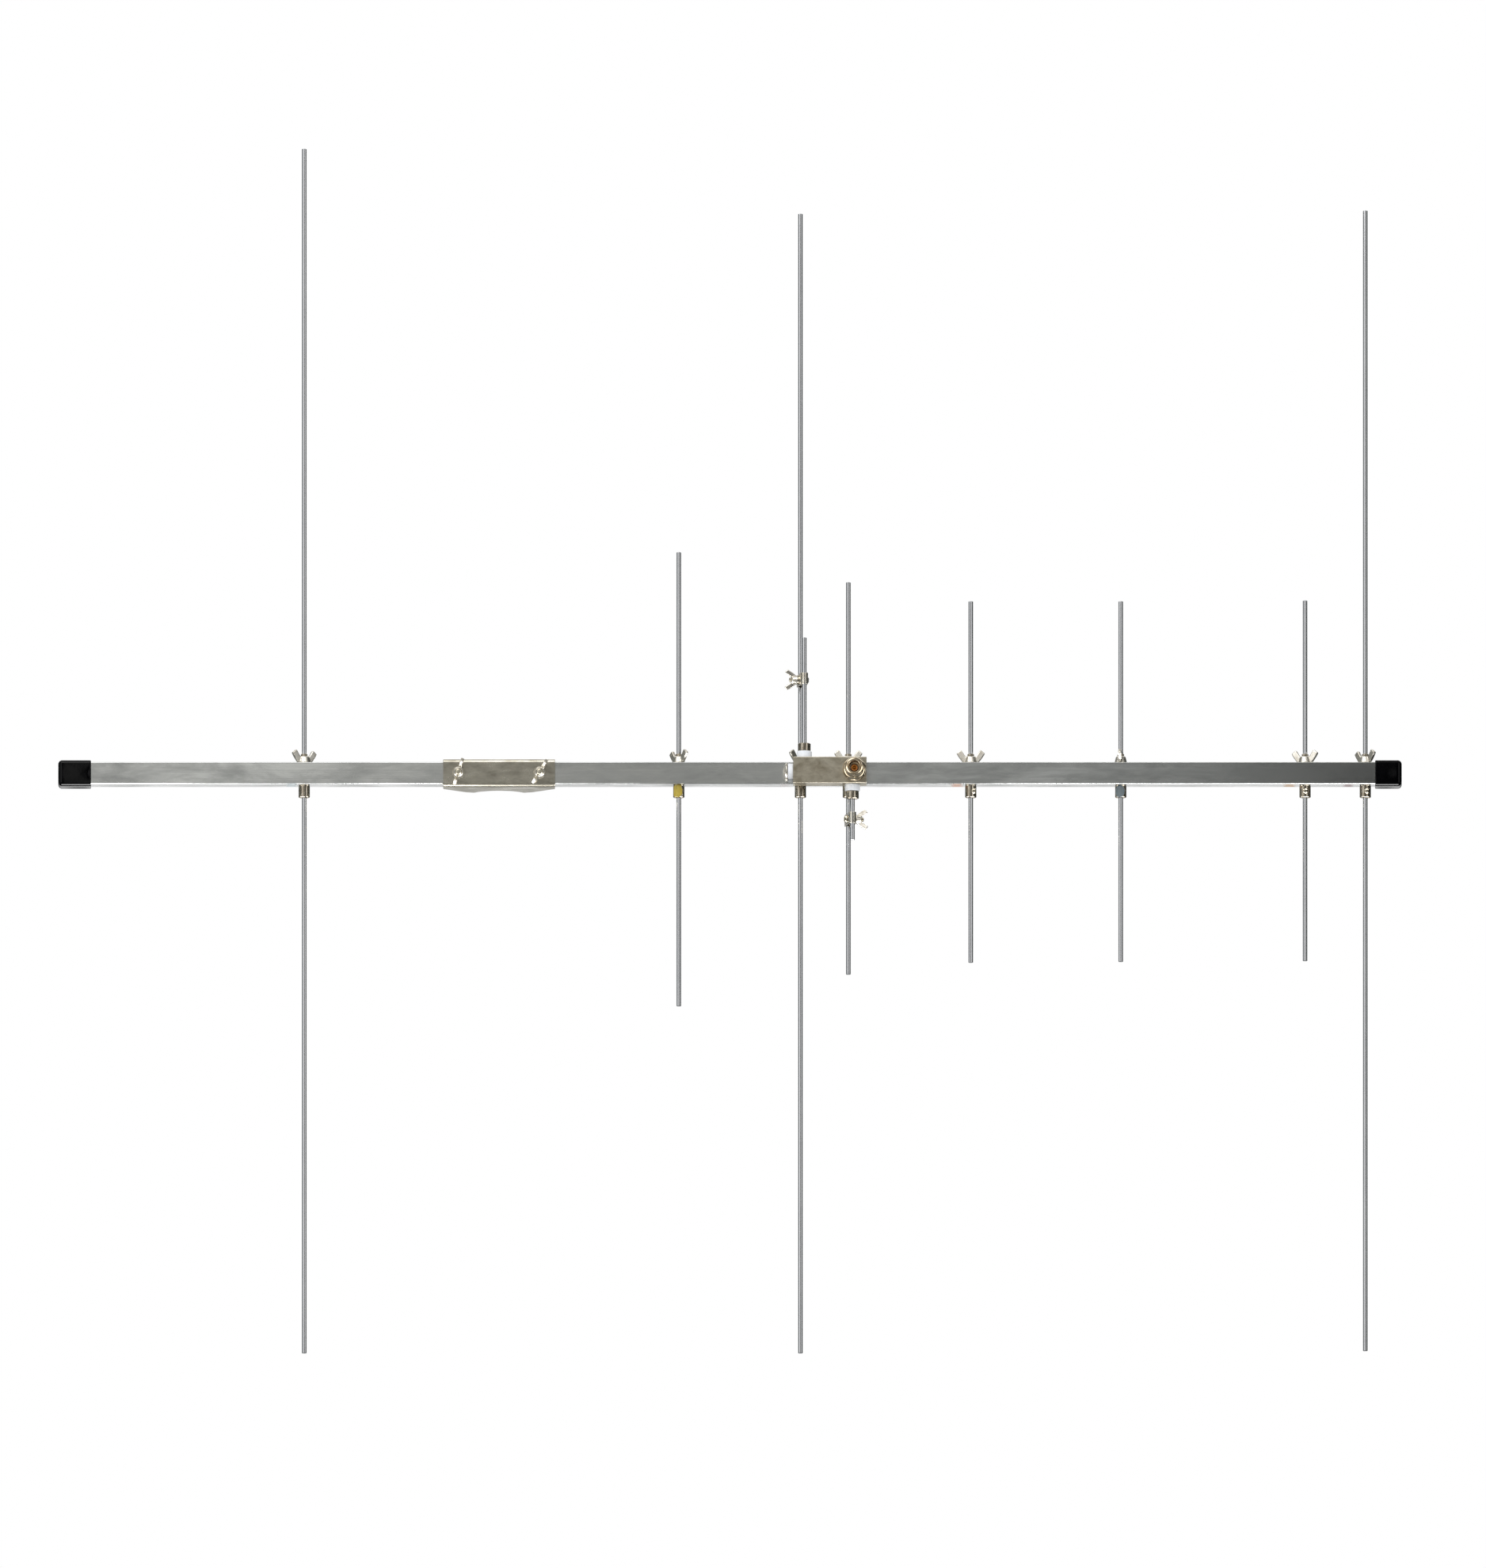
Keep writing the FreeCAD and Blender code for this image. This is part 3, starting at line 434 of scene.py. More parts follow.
def turnedPoints(outline, sides, thread=None, recess=None, flat=None):
    # surface of revolution: x = r cos a, y = r sin a, z = h over outline (r, h) and angle a.
    # A thread lowers r by depth times a flattened triangle wave of h/pitch - a/2pi, fading out
    # at both ends. A recess lowers h by depth under two bars that cross.
    # A flat is a round seat sunk into the side: y is held at its plane inside its circle.
    angle = np.linspace(0, 2 * np.pi, sides, endpoint=False)
    radius = np.repeat(outline[:, :1], sides, axis=1)
    height = np.repeat(outline[:, 1:], sides, axis=1)
    if thread:
        wave = threadWave(height / thread["pitch"] - angle / (2 * np.pi))
        ramp = thread["pitch"] * threadShape["ramp"]
        fade = np.clip((height - thread["low"]) / ramp, 0, 1)
        fade = fade * np.clip((thread["high"] - height) / ramp, 0, 1)
        onThread = np.isclose(radius, thread["radius"], rtol=1e-3, atol=0)
        radius = radius - onThread * wave * fade * thread["depth"]
    x, y = radius * np.cos(angle), radius * np.sin(angle)
    if recess:
        half, reach, soft = recess["width"] / 2, recess["length"] / 2, recess["soft"]
        first = np.clip((half - np.abs(x)) / soft, 0, 1) * np.clip((reach - np.abs(y)) / soft, 0, 1)
        second = np.clip((half - np.abs(y)) / soft, 0, 1) * np.clip((reach - np.abs(x)) / soft, 0, 1)
        height = height - recess["depth"] * np.maximum(first, second) * (height > recess["above"])
    if flat:
        seated = (np.hypot(x, height - flat["height"]) < flat["radius"]) & (y < flat["plane"])
        y = np.where(seated, flat["plane"], y)
    return np.stack([x, y, height], axis=-1)


def placed(points, origin, axis, turn=0.0):
    # points made along +Z, turned about it, pointed along axis and moved to origin
    turnAbout = Matrix.Rotation(math.radians(turn), 3, "Z")
    tilt = Vector((0, 0, 1)).rotation_difference(Vector(axis)).to_matrix()
    return points @ np.array(tilt @ turnAbout).T + np.array(origin)


# Pieces that keep their CAD form: doubles merged, and edges just broken where a bevel is given.
dressSettings = {"merge": 1e-6, "flatAngle": 1.0, "edgeAngle": 40.0, "segments": 2}


def dressed(node, bevel=0.0, material=None):
    s = dressSettings
    mesh = frame["nodes"][node].data.copy()
    work = bmesh.new()
    work.from_mesh(mesh)
    bmesh.ops.remove_doubles(work, verts=work.verts, dist=s["merge"])
    if bevel:
        flatAngle = math.radians(s["flatAngle"])
        bmesh.ops.dissolve_limit(work, angle_limit=flatAngle, verts=work.verts, edges=work.edges)
    work.to_mesh(mesh)
    work.free()
    obj = newObject(node + "_piece", mesh)
    finishPiece(obj, node, material)
    if bevel:
        edge = obj.modifiers.new("brokenEdge", "BEVEL")
        edge.width, edge.segments, edge.limit_method = bevel, s["segments"], "ANGLE"
        edge.angle_limit = math.radians(s["edgeAngle"])
    flat = obj.modifiers.new("flatFacesFlat", "WEIGHTED_NORMAL")  # bends don't bow the flats beside them
    flat.keep_sharp, flat.weight = True, 100
    return obj


def joined(name, meshes):
    # one mesh made of several, which are removed
    work = bmesh.new()
    for mesh in meshes:
        work.from_mesh(mesh)
        bpy.data.meshes.remove(mesh)
    whole = bpy.data.meshes.new(name)
    work.to_mesh(whole)
    work.free()
    return whole


def arc(centre, radius, start, end, steps):
    # points of a circle's arc in the (r, h) half section, angles in degrees from +r
    angle = np.radians(np.linspace(start, end, steps + 1))
    return np.stack([centre[0] + radius * np.cos(angle), centre[1] + radius * np.sin(angle)], axis=-1)


elementNames = [name[len("rod_"):] for name in frame["nodes"] if name.startswith("rod_")]
boomLow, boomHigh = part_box("boom")
boomY = (boomLow.y + boomHigh.y) / 2

# Rods: round bar of 48 sides with its ends just bevelled.
rodSettings = {"diameter": 4.0 * mm, "bevel": 0.3 * mm, "soft": 0.1 * mm, "softSteps": 2, "sides": 48}


def makeRod(node):
    s = rodSettings
    low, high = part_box(node)
    middle, length, r = middleOf(node), high.z - low.z, s["diameter"] / 2
    cut = s["bevel"]
    outline = softened([(0, 0), (r - cut, 0), (r, cut), (r, length - cut), (r - cut, length), (0, length)],
                       s["soft"], s["softSteps"])
    gridPiece(node, placed(turnedPoints(outline, s["sides"]), (middle.x, middle.y, low.z), (0, 0, 1)))


for name in frame["nodes"]:
    if slotOf[name] == "rod_steel":
        makeRod(name)
print("rods made")

# Bushes: turned collar with a seat for its screw, and a neck whose top few turns of thread
# stand out of the wing nut. The rest of the neck is inside the boom and the nut.
bushSettings = {
    "collar": 9.7 * mm, "collarHeight": 10.7 * mm, "neck": 6.0 * mm, "bore": 4.1 * mm, "bevel": 0.5 * mm,
    "soft": 0.25 * mm, "softSteps": 3, "sides": 72, "rowStep": 0.28 * mm, "threadRun": 4.2 * mm,
    "pitch": 0.75 * mm, "turnRows": 9, "threadDepth": 0.2 * mm, "seat": 4.5 * mm, "seatDepth": 0.5 * mm,
}
# Screw turn of each element's collar about its rod, in degrees, as it shows from the front.
screwTurn = {
    "reflector_2m": 200, "reflector_70cm": 150, "driven_2m": 170, "driven_70cm": 190,
    "director_70cm_first": 38, "director_70cm_second": 180, "director_70cm_third": 4, "director_2m": 18,
}


# Two collars carry a dab of paint on the side that faces the front: an ellipsoid round a point, its
# edge ragged by noise. Offsets are from where the rod crosses the boom's axis, in mm as sizes are.
paintedCollars = {
    "reflector_70cm": {"offset": (-1.1, -4.6, -14.6), "size": (4.2, 6.0, 6.4), "paint": "#c0a840"},
    "director_70cm_second": {"offset": (-0.8, -4.6, -15.0), "size": (4.2, 6.0, 5.4), "paint": "#6a777f"},
}
dabSettings = {"wobble": 0.5, "edge": (1.2, 1.3), "thinColour": "#6d6440", "thinShare": 0.45}


def paintedCollarMaterial(element):
    s, look = dabSettings, paintedCollars[element]
    material, tree, shader, where, colour = metalMaterial(element + "Collar", turnedLook)
    x, y, z = look["offset"]
    centre = (middleOf("rod_" + element).x + x * mm, boomY + y * mm, z * mm)
    scale = tuple(1 / (side * mm) for side in look["size"])
    settings = {"Location": tuple(-c * k for c, k in zip(centre, scale)), "Scale": scale}
    local = addNode(tree, "ShaderNodeMapping", settings, {"Vector": where}).outputs["Vector"]
    reach = addNode(tree, "ShaderNodeVectorMath", {"operation": "LENGTH"}, {0: local}).outputs["Value"]
    ragged = maths(tree, "MULTIPLY_ADD", noise(tree, where, scale=500.0, detail=2.0), s["wobble"], reach)
    dab = spread(tree, ragged, *s["edge"], 1.0, 0.0)
    thin = noise(tree, where, scale=900.0, detail=3.0)
    worn = spread(tree, thin, 0.4, 0.75, 0.0, s["thinShare"])
    shade = blendColours(tree, worn, look["paint"], s["thinColour"])
    tree.links.new(blendColours(tree, dab, colour, shade), shader.inputs["Base Color"])
    tree.links.new(spread(tree, dab, 0.0, 1.0, 1.0, 0.0), shader.inputs["Metallic"])
    return material


def makeBush(element):
    s = bushSettings
    node = "bush_" + element
    low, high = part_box(node)
    top, r, neck, bore, cut = high.z - low.z, s["collar"] / 2, s["neck"] / 2, s["bore"] / 2, s["bevel"]
    collarTop = s["collarHeight"]
    profile = softened([(bore, 0), (r - cut, 0), (r, cut), (r, collarTop - cut), (r - cut, collarTop),
                        (neck, collarTop), (neck, top - cut), (neck - cut, top), (bore, top)],
                       s["soft"], s["softSteps"])
    profile = inserted(profile, s["rowStep"], 0, collarTop)
    profile = inserted(profile, s["pitch"] / s["turnRows"], top - s["threadRun"], top)
    profile = np.vstack([profile, profile[:1]])
    thread = {"radius": neck, "pitch": s["pitch"], "depth": s["threadDepth"],
              "low": top - s["threadRun"], "high": top + s["pitch"]}
    flat = {"radius": s["seat"] / 2, "plane": -(r - s["seatDepth"]), "height": collarTop / 2}
    local = turnedPoints(profile, s["sides"], thread, flat=flat)
    points = placed(local, (middleOf("rod_" + element).x, boomY, low.z), (0, 0, 1), screwTurn[element])
    gridPiece(node, points, paintedCollarMaterial(element) if element in paintedCollars else None)


for element in elementNames:
    makeBush(element)
print("bushes made")

# Pinch screws: domed heads with a cross recess. The shank is inside the collar.
pinchSettings = {
    "head": 4.4 * mm, "height": 1.5 * mm, "rim": 0.3 * mm, "shank": 2.5 * mm, "reach": 2.3 * mm,
    "seat": 4.35 * mm, "drop": 14.85 * mm, "sides": 64, "rings": 26, "firstTurn": 25, "nextTurn": 40,
}
pinchRecess = {"width": 0.9 * mm, "length": 2.7 * mm, "depth": 0.75 * mm, "soft": 0.12 * mm}


def headOutline(diameter, height, rim, rings, foot):
    # dome of a screw head over its rim: a circle through the rim and the top, down to the shank's
    # foot, which is given as radius and height
    r, rise = diameter / 2, height - rim
    ball = (r * r + rise * rise) / (2 * rise)
    halfAngle = math.degrees(math.asin(r / ball))
    crown = arc((0, height - ball), ball, 90 - halfAngle, 90, rings)
    return np.vstack([[(0, foot[1]), foot, (foot[0], 0), (r - rim / 2, 0), (r, rim / 2)], crown])


def makePinchScrews():
    s = pinchSettings
    outline = headOutline(s["head"], s["height"], s["rim"], s["rings"], (s["shank"] / 2, -s["reach"]))
    local = turnedPoints(outline, s["sides"], recess={**pinchRecess, "above": s["rim"]})
    screws = []
    for place, element in enumerate(elementNames):
        turn = math.radians(screwTurn[element])
        outward = np.array([math.sin(turn), -math.cos(turn), 0])
        centre = np.array([middleOf("rod_" + element).x, boomY, -s["drop"]]) + outward * s["seat"]
        crossTurn = s["firstTurn"] + s["nextTurn"] * place
        screws.append(gridMesh("screw", placed(local, centre, outward, crossTurn)))
    finishPiece(newObject("pinch_screws_piece", joined("pinch_screws", screws)), "pinch_screws")


makePinchScrews()
print("pinch screws made")

# Wing nuts: the CAD form remade of small voxels and smoothed, so that every edge and root is soft.
nutSettings = {"voxel": 0.27 * mm, "smoothTurns": 4, "smoothShare": 0.6}


def applyModifiers(obj):
    graph = bpy.context.evaluated_depsgraph_get()
    finished = bpy.data.meshes.new_from_object(obj.evaluated_get(graph))
    obj.modifiers.clear()
    obj.data = finished


def makeWingNut(node):
    s = nutSettings
    obj = dressed(node)
    obj.modifiers.clear()
    cast = obj.modifiers.new("cast", "REMESH")
    cast.mode, cast.voxel_size, cast.use_smooth_shade = "VOXEL", s["voxel"], True
    soft = obj.modifiers.new("soft", "SMOOTH")
    soft.factor, soft.iterations = s["smoothShare"], s["smoothTurns"]
    applyModifiers(obj)
    obj.data.shade_smooth()


for name in frame["nodes"]:
    if "wing_nut" in name:
        makeWingNut(name)
print("wing nuts cast")

# U-bolt: drawn wire, two straight legs and a half round bight, threaded from both ends.
boltSettings = {
    "diameter": 6.0 * mm, "endRound": 1.9 * mm, "pitch": 1.0 * mm, "threadDepth": 0.5 * mm,
    "threadRun": 30.0 * mm, "threadStart": 1.14 * mm, "sides": 36, "turnRows": 9, "bendRows": 72,
    "noseRows": 9, "noseCrowd": 1.5, "plainRows": 4,
}


def makeUBolt():
    # along runs from one leg's end round to the other's, and near an end the wire narrows to a
    # round nose: r - nose + sqrt(nose^2 - (nose - fromEnd)^2)
    s = boltSettings
    low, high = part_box("u_bolt")
    r, nose, pitch = s["diameter"] / 2, s["endRound"], s["pitch"]
    bend = (high.x - low.x) / 2 - r
    bendY = high.y - r - bend
    leg = bendY - low.y
    noseRows = np.linspace(0, 1, s["noseRows"]) ** s["noseCrowd"] * nose
    fine = np.arange(nose, s["threadRun"], pitch / s["turnRows"])[1:]
    leftLeg = np.concatenate([noseRows, fine, np.linspace(s["threadRun"], leg, s["plainRows"])])
    total = 2 * leg + bend * np.pi
    bight = leg + bend * np.linspace(0, np.pi, s["bendRows"])[1:-1]
    along = np.concatenate([leftLeg, bight, total - leftLeg[::-1]])
    fromEnd = np.minimum(along, total - along)
    beforeRound = np.clip(nose - fromEnd, 0, None)
    plain = r - nose + np.sqrt(np.clip(nose ** 2 - beforeRound ** 2, 0, None))
    swing = np.clip((along - leg) / bend, 0, np.pi)
    centre = np.stack([-bend * np.cos(swing), bendY + bend * np.sin(swing), 0 * along], axis=-1)
    centre[:, 1] -= np.clip(leg - along, 0, None) + np.clip(along - leg - bend * np.pi, 0, None)
    outward = np.stack([-np.cos(swing), np.sin(swing), 0 * swing], axis=-1)
    angle = np.linspace(0, 2 * np.pi, s["sides"], endpoint=False)
    wave = threadWave(fromEnd[:, None] / pitch + angle / (2 * np.pi))
    fade = np.clip((s["threadRun"] - fromEnd) / pitch, 0, 1)
    fade = fade * np.clip((fromEnd - s["threadStart"]) / pitch, 0, 1)
    radius = plain[:, None] - s["threadDepth"] * wave * fade[:, None]
    around = (np.cos(angle)[None, :, None] * outward[:, None]
              + np.sin(angle)[None, :, None] * np.array([0, 0, 1.0]))
    first, last = (np.repeat(end[:, None], s["sides"], axis=1) for end in (centre[:1], centre[-1:]))
    gridPiece("u_bolt", np.concatenate([first, centre[:, None] + radius[..., None] * around, last]))


makeUBolt()
print("U-bolt made")

# Insulators: turned, a flange with well rounded corners outside the wall and a spigot through it.
insulatorSettings = {"edge": 0.9 * mm, "edgeSteps": 6, "spigot": 8.0 * mm, "inside": 2.8 * mm,
                     "bore": 4.1 * mm, "sides": 96}
outwardOf = {"match_insulator_2m": (0, 0, 1), "match_insulator_70cm": (0, 0, -1), "terminal_bush": (-1, 0, 0)}


def makeInsulator(node):
    s = insulatorSettings
    low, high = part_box(node)
    outward, size = Vector(outwardOf[node]), high - low
    axis = max(range(3), key=lambda i: abs(outward[i]))
    length, r, bore, spigot = size[axis], size[(axis + 2) % 3] / 2, s["bore"] / 2, s["spigot"] / 2
    flange = length - s["inside"]
    wall = middleOf(node) + outward * (s["inside"] - length / 2)
    profile = softened([(bore, -s["inside"]), (spigot, -s["inside"]), (spigot, 0), (r, 0), (r, flange),
                        (bore, flange)], s["edge"], s["edgeSteps"])
    profile = np.vstack([profile, profile[:1]])
    gridPiece(node, placed(turnedPoints(profile, s["sides"]), wall, outward))


for name in outwardOf:
    makeInsulator(name)
print("insulators made")

# Strap screws: domed head with a cross recess, thread on the end past the nut.
strapScrewSettings = {
    "head": 7.2 * mm, "height": 2.6 * mm, "rim": 0.52 * mm, "shank": 4.0 * mm, "grip": 14.7 * mm,
    "endInset": 0.4 * mm, "endRise": 0.5 * mm, "pitch": 0.7 * mm, "turnRows": 9, "threadDepth": 0.33 * mm,
    "threadRun": 8.0 * mm, "sides": 64, "rings": 26, "headOffset": 3.25 * mm, "crossTurn": 20,
}
strapRecess = {"width": 1.2 * mm, "length": 4.2 * mm, "depth": 1.1 * mm, "soft": 0.12 * mm}


def makeStrapScrew(band, side):
    s = strapScrewSettings
    rear, front = middleOf("rod_driven_" + band), middleOf("match_rod_" + band)
    rear.z = front.z = middleOf("strap_" + band).z
    along = (front - rear).normalized()
    outward = along.cross(Vector((0, 0, 1))) * side
    seat = (front + rear) / 2 - outward * s["headOffset"]
    r, end = s["shank"] / 2, -s["grip"]
    head = headOutline(s["head"], s["height"], s["rim"], s["rings"], (r, end + s["endRise"]))
    outline = np.vstack([[(0, end), (r - s["endInset"], end)], head[1:]])
    outline = inserted(outline, s["pitch"] / s["turnRows"], end, end + s["threadRun"])
    thread = {"radius": r, "pitch": s["pitch"], "depth": s["threadDepth"],
              "low": end - s["pitch"], "high": end + s["threadRun"]}
    local = turnedPoints(outline, s["sides"], thread, recess={**strapRecess, "above": s["rim"]})
    gridPiece("strap_screw_" + band, placed(local, seat, -outward, s["crossTurn"]))


makeStrapScrew("2m", 1)
makeStrapScrew("70cm", -1)
print("strap screws made")

# Socket shell: flange, round shoulder and a barrel with 24 threads to the inch.
socketSettings = {
    "flange": 20.5 * mm, "flangeHeight": 2.4 * mm, "dome": 5.2 * mm, "domeRows": 15, "barrel": 15.88 * mm,
    "length": 22.0 * mm, "mouth": 0.7 * mm, "land": 0.14 * mm, "frontRound": 2.2 * mm, "frontSteps": 14,
    "bore": 9.0 * mm, "boreDepth": 11.0 * mm, "tail": 12.0 * mm, "tailHeight": 5.8 * mm, "insert": 7.3 * mm,
    "soft": 0.3 * mm, "softSteps": 3, "pitch": 25.4 * mm / 24, "turnRows": 10, "threadDepth": 0.5 * mm,
    "threadFrom": 8.4 * mm, "sides": 128, "sharpAngle": 50,
}


def makeSocketShell():
    s = socketSettings
    middle, length = middleOf("socket_shell"), s["length"]
    origin = (middle.x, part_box("socket_shell")[0].y + length, middle.z)
    flange, barrel, bore = s["flange"] / 2, s["barrel"] / 2, s["bore"] / 2
    insert, tail, mouth, front = s["insert"] / 2, s["tail"] / 2, s["mouth"], s["frontRound"]
    floor = length - s["boreDepth"]
    foot = softened([(insert, -s["tailHeight"]), (tail, -s["tailHeight"]), (tail, 0), (flange, 0),
                     (flange, s["flangeHeight"] / 2)], s["soft"], s["softSteps"])
    swing = np.radians(np.linspace(0, 90, s["domeRows"]))
    shoulder = np.stack([barrel + (flange - barrel) * np.cos(swing),
                         s["flangeHeight"] + s["dome"] * np.sin(swing)], axis=-1)
    opening = softened([(bore + mouth + s["land"], length), (bore + mouth, length), (bore, length - mouth),
                        (bore, floor)], s["soft"], s["softSteps"])
    rim = np.vstack([arc((barrel - front, length - front), front, 0, 90, s["frontSteps"]), opening])
    threaded = inserted(np.vstack([foot, shoulder, rim[:1]]), s["pitch"] / s["turnRows"], s["threadFrom"],
                        length - front)
    outline = np.vstack([threaded, rim[1:], [(insert, floor)], foot[:1]])
    thread = {"radius": barrel, "pitch": s["pitch"], "depth": s["threadDepth"], "low": s["threadFrom"],
              "high": length - front}
    points = placed(turnedPoints(outline, s["sides"], thread), origin, (0, -1, 0))
    gridPiece("socket_shell", points, sharpAngle=s["sharpAngle"])


makeSocketShell()
print("socket made")

# End caps: dipped vinyl, pulled over the tube. The section is a square with round corners,
# drawn in a little between them, and it closes over a round end.
capSettings = {"corner": 3.4 * mm, "end": 3.4 * mm, "wall": 1.7 * mm, "sag": 0.35 * mm, "rim": 0.7 * mm,
               "boomCorner": 0.85 * mm, "endCorner": 0.55, "cornerSteps": 12, "sideSteps": 16, "sideRows": 10,
               "endRows": 12, "firstTurn": 8, "sharpAngle": 60}


def squareSection(half, corner, sag):
    # closed outline (y, z): four rounded corners joined by sides that sink by sag times sin squared
    s = capSettings
    share = np.linspace(0, 1, s["sideSteps"] + 1)[1:-1]
    turn = np.radians(np.linspace(0, 90, s["cornerSteps"] + 1))
    bend = np.stack([half - corner + corner * np.cos(turn), half - corner + corner * np.sin(turn)], axis=-1)
    side = np.stack([(half - corner) * (1 - 2 * share), half - sag * np.sin(np.pi * share) ** 2], axis=-1)
    quarters = []
    for quarter in np.radians([0, 90, 180, 270]):
        across, up = np.cos(quarter), np.sin(quarter)
        quarters.append(np.vstack([bend, side]) @ np.array([[across, up], [-up, across]]))
    return np.vstack(quarters)


def capRows(half, length):
    # rows of distance from the closed end, half size, corner and sag, from the middle of the
    # hollow's floor out over the rim, which swells in shares of the wall, to the middle of the end
    s = capSettings
    wall, rim, corner, end, boomCorner = s["wall"], s["rim"], s["corner"], s["end"], s["boomCorner"]
    inner = half - wall
    rows = [(wall, 0, 0, 0), (wall, inner, boomCorner, 0), (length - rim, inner, boomCorner, 0),
            (length - rim * 0.3, inner + wall * 0.15, boomCorner * 1.2, 0),
            (length, inner + wall * 0.45, corner * 0.7, 0),
            (length - rim * 0.3, half - wall * 0.1, corner * 0.95, 0), (length - rim, half, corner, 0)]
    for place in np.linspace(length - 2 * rim, end, s["sideRows"]):
        rows.append((place, half, corner, s["sag"] * math.sin(math.pi * (place - end) / length)))
    for turn in np.radians(np.linspace(s["firstTurn"], 90, s["endRows"])):
        sine, inset = math.sin(turn), end * (1 - math.cos(turn))
        rows.append((end * (1 - sine), half - inset, corner * (1 - s["endCorner"] * inset / end), 0))
    dished = [(s["sag"] * 0.7, half * 0.4, half * 0.2, 0), (s["sag"], 0, 0, 0)]  # its middle sinks by sag
    return rows + dished


def makeEndCap(node, outward):
    low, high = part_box(node)
    endX = high.x if outward > 0 else low.x
    grid = []
    for distance, size, corner, sag in capRows((high.z - low.z) / 2, high.x - low.x):
        section = squareSection(size, corner, sag)
        x = np.full(len(section), endX - outward * distance)
        grid.append(np.stack([x, boomY + section[:, 0], section[:, 1]], axis=-1))
    gridPiece(node, np.array(grid), sharpAngle=capSettings["sharpAngle"])


makeEndCap("end_cap_tail", -1)
makeEndCap("end_cap_nose", 1)
print("end caps made")

# The rest keeps its CAD form: sheet edges are just broken, turned edges are left.
brokenEdges = {"mast_bracket": 0.25 * mm, "feed_box_tray": 0.15 * mm,
               "strap_2m": 0.15 * mm, "strap_70cm": 0.15 * mm}
strapMaterial = metalMaterial("bentNickelStrip", strapLook)[0]
ownFinish = {"socket_insert": phenolicMaterial(), "strap_2m": strapMaterial, "strap_70cm": strapMaterial,
             "terminal_cap": materials["plated_wing_nut"]}
done = {obj.name.removesuffix("_piece") for obj in bpy.data.objects if obj.name.endswith("_piece")}
for name in frame["nodes"]:
    if name not in done:
        dressed(name, brokenEdges.get(name, 0.0), ownFinish.get(name))
print("other nodes dressed")


# stage, light and camera

def makeStage(name, corners, material):
    mesh = bpy.data.meshes.new(name)
    mesh.from_pydata(corners, [], [(0, 1, 2, 3)])
    obj = newObject(name, mesh)
    obj.data.materials.append(material)
    return obj


stageSettings = {"floorZ": -1.6, "floorHalf": 30.0, "floorBright": "#f4f4f2", "floorDull": "#efefed",
                 "floorSeen": 0.6, "floorMirrored": 0.95, "sky": "#e6e8ea", "skyStrength": 0.8}


def whiteRays(tree, seen=1.0, mirrored=1.0):
    # rays that should meet white: those of the camera, and those of gloss and of clear things
    rays = addNode(tree, "ShaderNodeLightPath").outputs
    own = maths(tree, "MULTIPLY", rays["Is Camera Ray"], seen)
    other = maths(tree, "MAXIMUM", rays["Is Glossy Ray"], rays["Is Transmission Ray"])
    return maths(tree, "MAXIMUM", own, maths(tree, "MULTIPLY", other, mirrored))


def floorMaterial():
    # matt white sheet, partly as bright as the backdrop for white rays, so a shadow still shows
    s = stageSettings
    settings = {"Roughness": 0.9, "Specular IOR Level": 0.1}
    material, tree, shader, where = startMaterial("studioFloor", settings)
    grain = noise(tree, where, scale=3.0, detail=2.0)
    tree.links.new(blendColours(tree, grain, s["floorBright"], s["floorDull"]), shader.inputs["Base Color"])
    glow = addNode(tree, "ShaderNodeEmission", {"Color": (1, 1, 1, 1), "Strength": 1.0})
    white = whiteRays(tree, s["floorSeen"], s["floorMirrored"])
    mixed = addNode(tree, "ShaderNodeMixShader", links={0: white, 1: shader.outputs[0], 2: glow.outputs[0]})
    output = next(node for node in tree.nodes if node.type == "OUTPUT_MATERIAL")
    tree.links.new(mixed.outputs[0], output.inputs["Surface"])
    return material


def makeFloor():
    half, z = stageSettings["floorHalf"], stageSettings["floorZ"]
    corners = [(-half, -half, z), (half, -half, z), (half, half, z), (-half, half, z)]
    makeStage("studio_floor", corners, floorMaterial())


makeFloor()

# Boards that only reflections show, as a studio's grey and black boards are. One in front greys
# the flat front faces, its shades listed by their place along X: light behind the tail, a plateau,
# then black at the nose. One stands each side and a little behind, and gives each round bar its
# dark flanks. Grey ones stand in for the wall behind, the ceiling and the floor.
boardSettings = {
    "front": {"y": -3.0, "x": (-0.95, 1.9), "z": (-1.55, 1.85),
              "shades": ((-0.44, "#1c1c1c"), (-0.36, "#e6e6e2"), (-0.26, "#f2f2ee"), (-0.14, "#bcbcb8"),
                         (-0.04, "#90908c"), (0.24, "#8e8e8a"), (0.36, "#aaaba9"), (0.46, "#b0b1af"),
                         (0.58, "#a8aaa8"), (0.63, "#4c4d4c"), (0.67, "#020202"))},
    "left": {"x": -2.1, "y": (-1.5, 6.0), "z": (-1.55, 2.2), "shades": ((0, "#767a7a"),)},
    "right": {"x": 2.6, "y": (-1.5, 6.0), "z": (-1.55, 2.2), "shades": ((0, "#3c403e"),)},
    "back": {"y": 7.0, "x": (-2.1, 2.6), "z": (-0.6, 2.4), "shades": ((0, "#9a9c9b"),)},
    "top": {"z": 3.0, "x": (-3.0, 3.5), "y": (-6.0, 0.8), "shades": ((0, "#8c8c88"),)},
    "low": {"z": -1.58, "x": (-8.0, 9.0), "y": (-9.0, 6.5), "shades": ((0, "#7c7e7d"),)},
}


